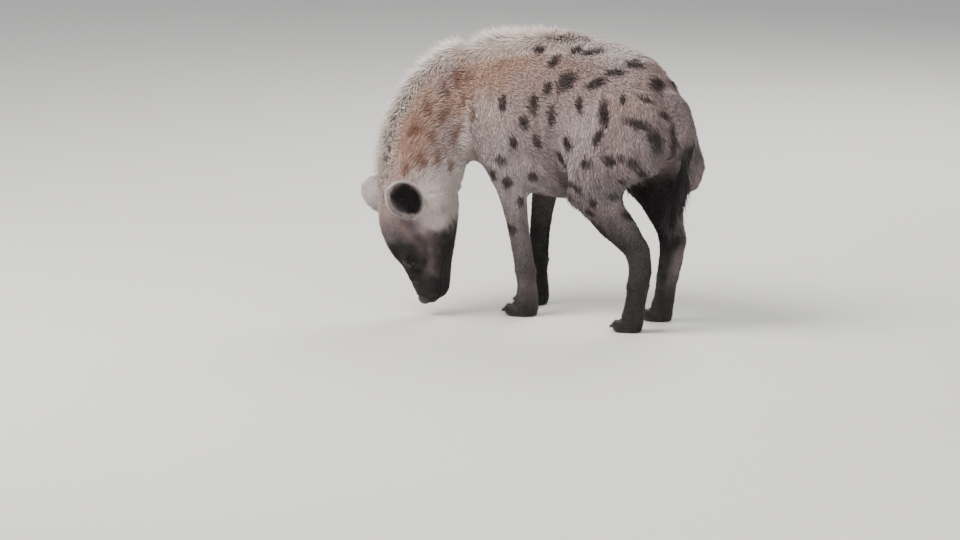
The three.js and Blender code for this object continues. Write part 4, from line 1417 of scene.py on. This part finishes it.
eyeLook, lidLook = eyeFinish(), lidFinish()
for side, name in ((1, "left"), (-1, "right")):
    eye = makeEye(side, f"eye_{name}_ball")
    eye.data.materials.append(eyeLook)
    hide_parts(f"eye_{name}")
    makeLids(side, f"lids_{name}").data.materials.append(lidLook)


# Nose and claws: smooth copies of the CAD solids
def smoothCopy(name, nodes, levels):
    piece = joinedCopy(name, nodes)
    subdivision = piece.modifiers.new("rounded", "SUBSURF")
    subdivision.levels = subdivision.render_levels = levels
    baked(piece)
    smoothFaces(piece.data)
    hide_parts(*nodes)
    return piece


nose = ridden(smoothCopy("noseLeather", ["nose"], 3))
f = Finish("noseLeather", Roughness=0.5, Coat_Weight=0.12, Coat_Roughness=0.35)
grain = f.node("ShaderNodeTexVoronoi", {"feature": "DISTANCE_TO_EDGE"}, {"Vector": f.place(), "Scale": 650},
               "Distance")
f.colour(f.mix(f.noise(120), linear("#0e0b0b"), linear("#1a1615")))
f.bump(grain, 0.5, 0.0006)
nose.data.materials.append(f.material)

claws = ridden(smoothCopy("claws", [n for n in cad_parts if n.startswith("claw")], 2))
f = Finish("clawHorn", Roughness=0.45)
growth = f.noise(60, 3.0, 0.6, stretch=(1, 6, 6))
f.colour(f.mix(growth.step(0.3, 0.7), linear("#1a1512"), linear("#3b3029")))
f.bump(growth, 0.3, 0.0005)
claws.data.materials.append(f.material)
say("eyes, nose and claws")


# Floor and light: each lamp's place, size and power
studio = {
    "floor": 14, "sky": (0.86, 0.88, 0.92, 1), "skyPower": 0.55, "aim": (0, 0, 0.4),
    "lamps": {
        "key": ((-1.6, -2.6, 4.2), 3.2, 420),
        "fill": ((4.5, -2.2, 2.0), 3.5, 130),
        "rim": ((-1.0, 3.6, 3.2), 2.6, 160),
    },
}


def makeStudio():
    bm = bmesh.new()
    bmesh.ops.create_grid(bm, x_segments=1, y_segments=1, size=studio["floor"])
    floor = newObject("floor", meshFrom(bm, "floor"))
    finish = Finish("floorPaint", Roughness=0.85)
    finish.colour(finish.mix(finish.noise(1.2, 3.0) * 0.5, linear("#d6d3ce"), linear("#dcd9d5")))
    floor.data.materials.append(finish.material)
    floor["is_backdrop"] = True
    world = bpy.data.worlds.new("studio")
    bpy.context.scene.world = world
    world.use_nodes = True
    world.node_tree.nodes["Background"].inputs[0].default_value = studio["sky"]
    world.node_tree.nodes["Background"].inputs[1].default_value = studio["skyPower"]
    for name, (at, size, power) in studio["lamps"].items():
        data = bpy.data.lights.new(name, "AREA")
        data.shape = "DISK"
        data.size = size
        data.energy = power
        lamp = bpy.data.objects.new(name, data)
        lamp.location = at
        lamp.rotation_euler = (Vector(studio["aim"]) - Vector(at)).to_track_quat("-Z", "Y").to_euler()
        bpy.context.scene.collection.objects.link(lamp)


makeStudio()
say("studio")

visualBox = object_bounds()
say(f"size {[[round(c, 4) for c in v] for v in visualBox]}")
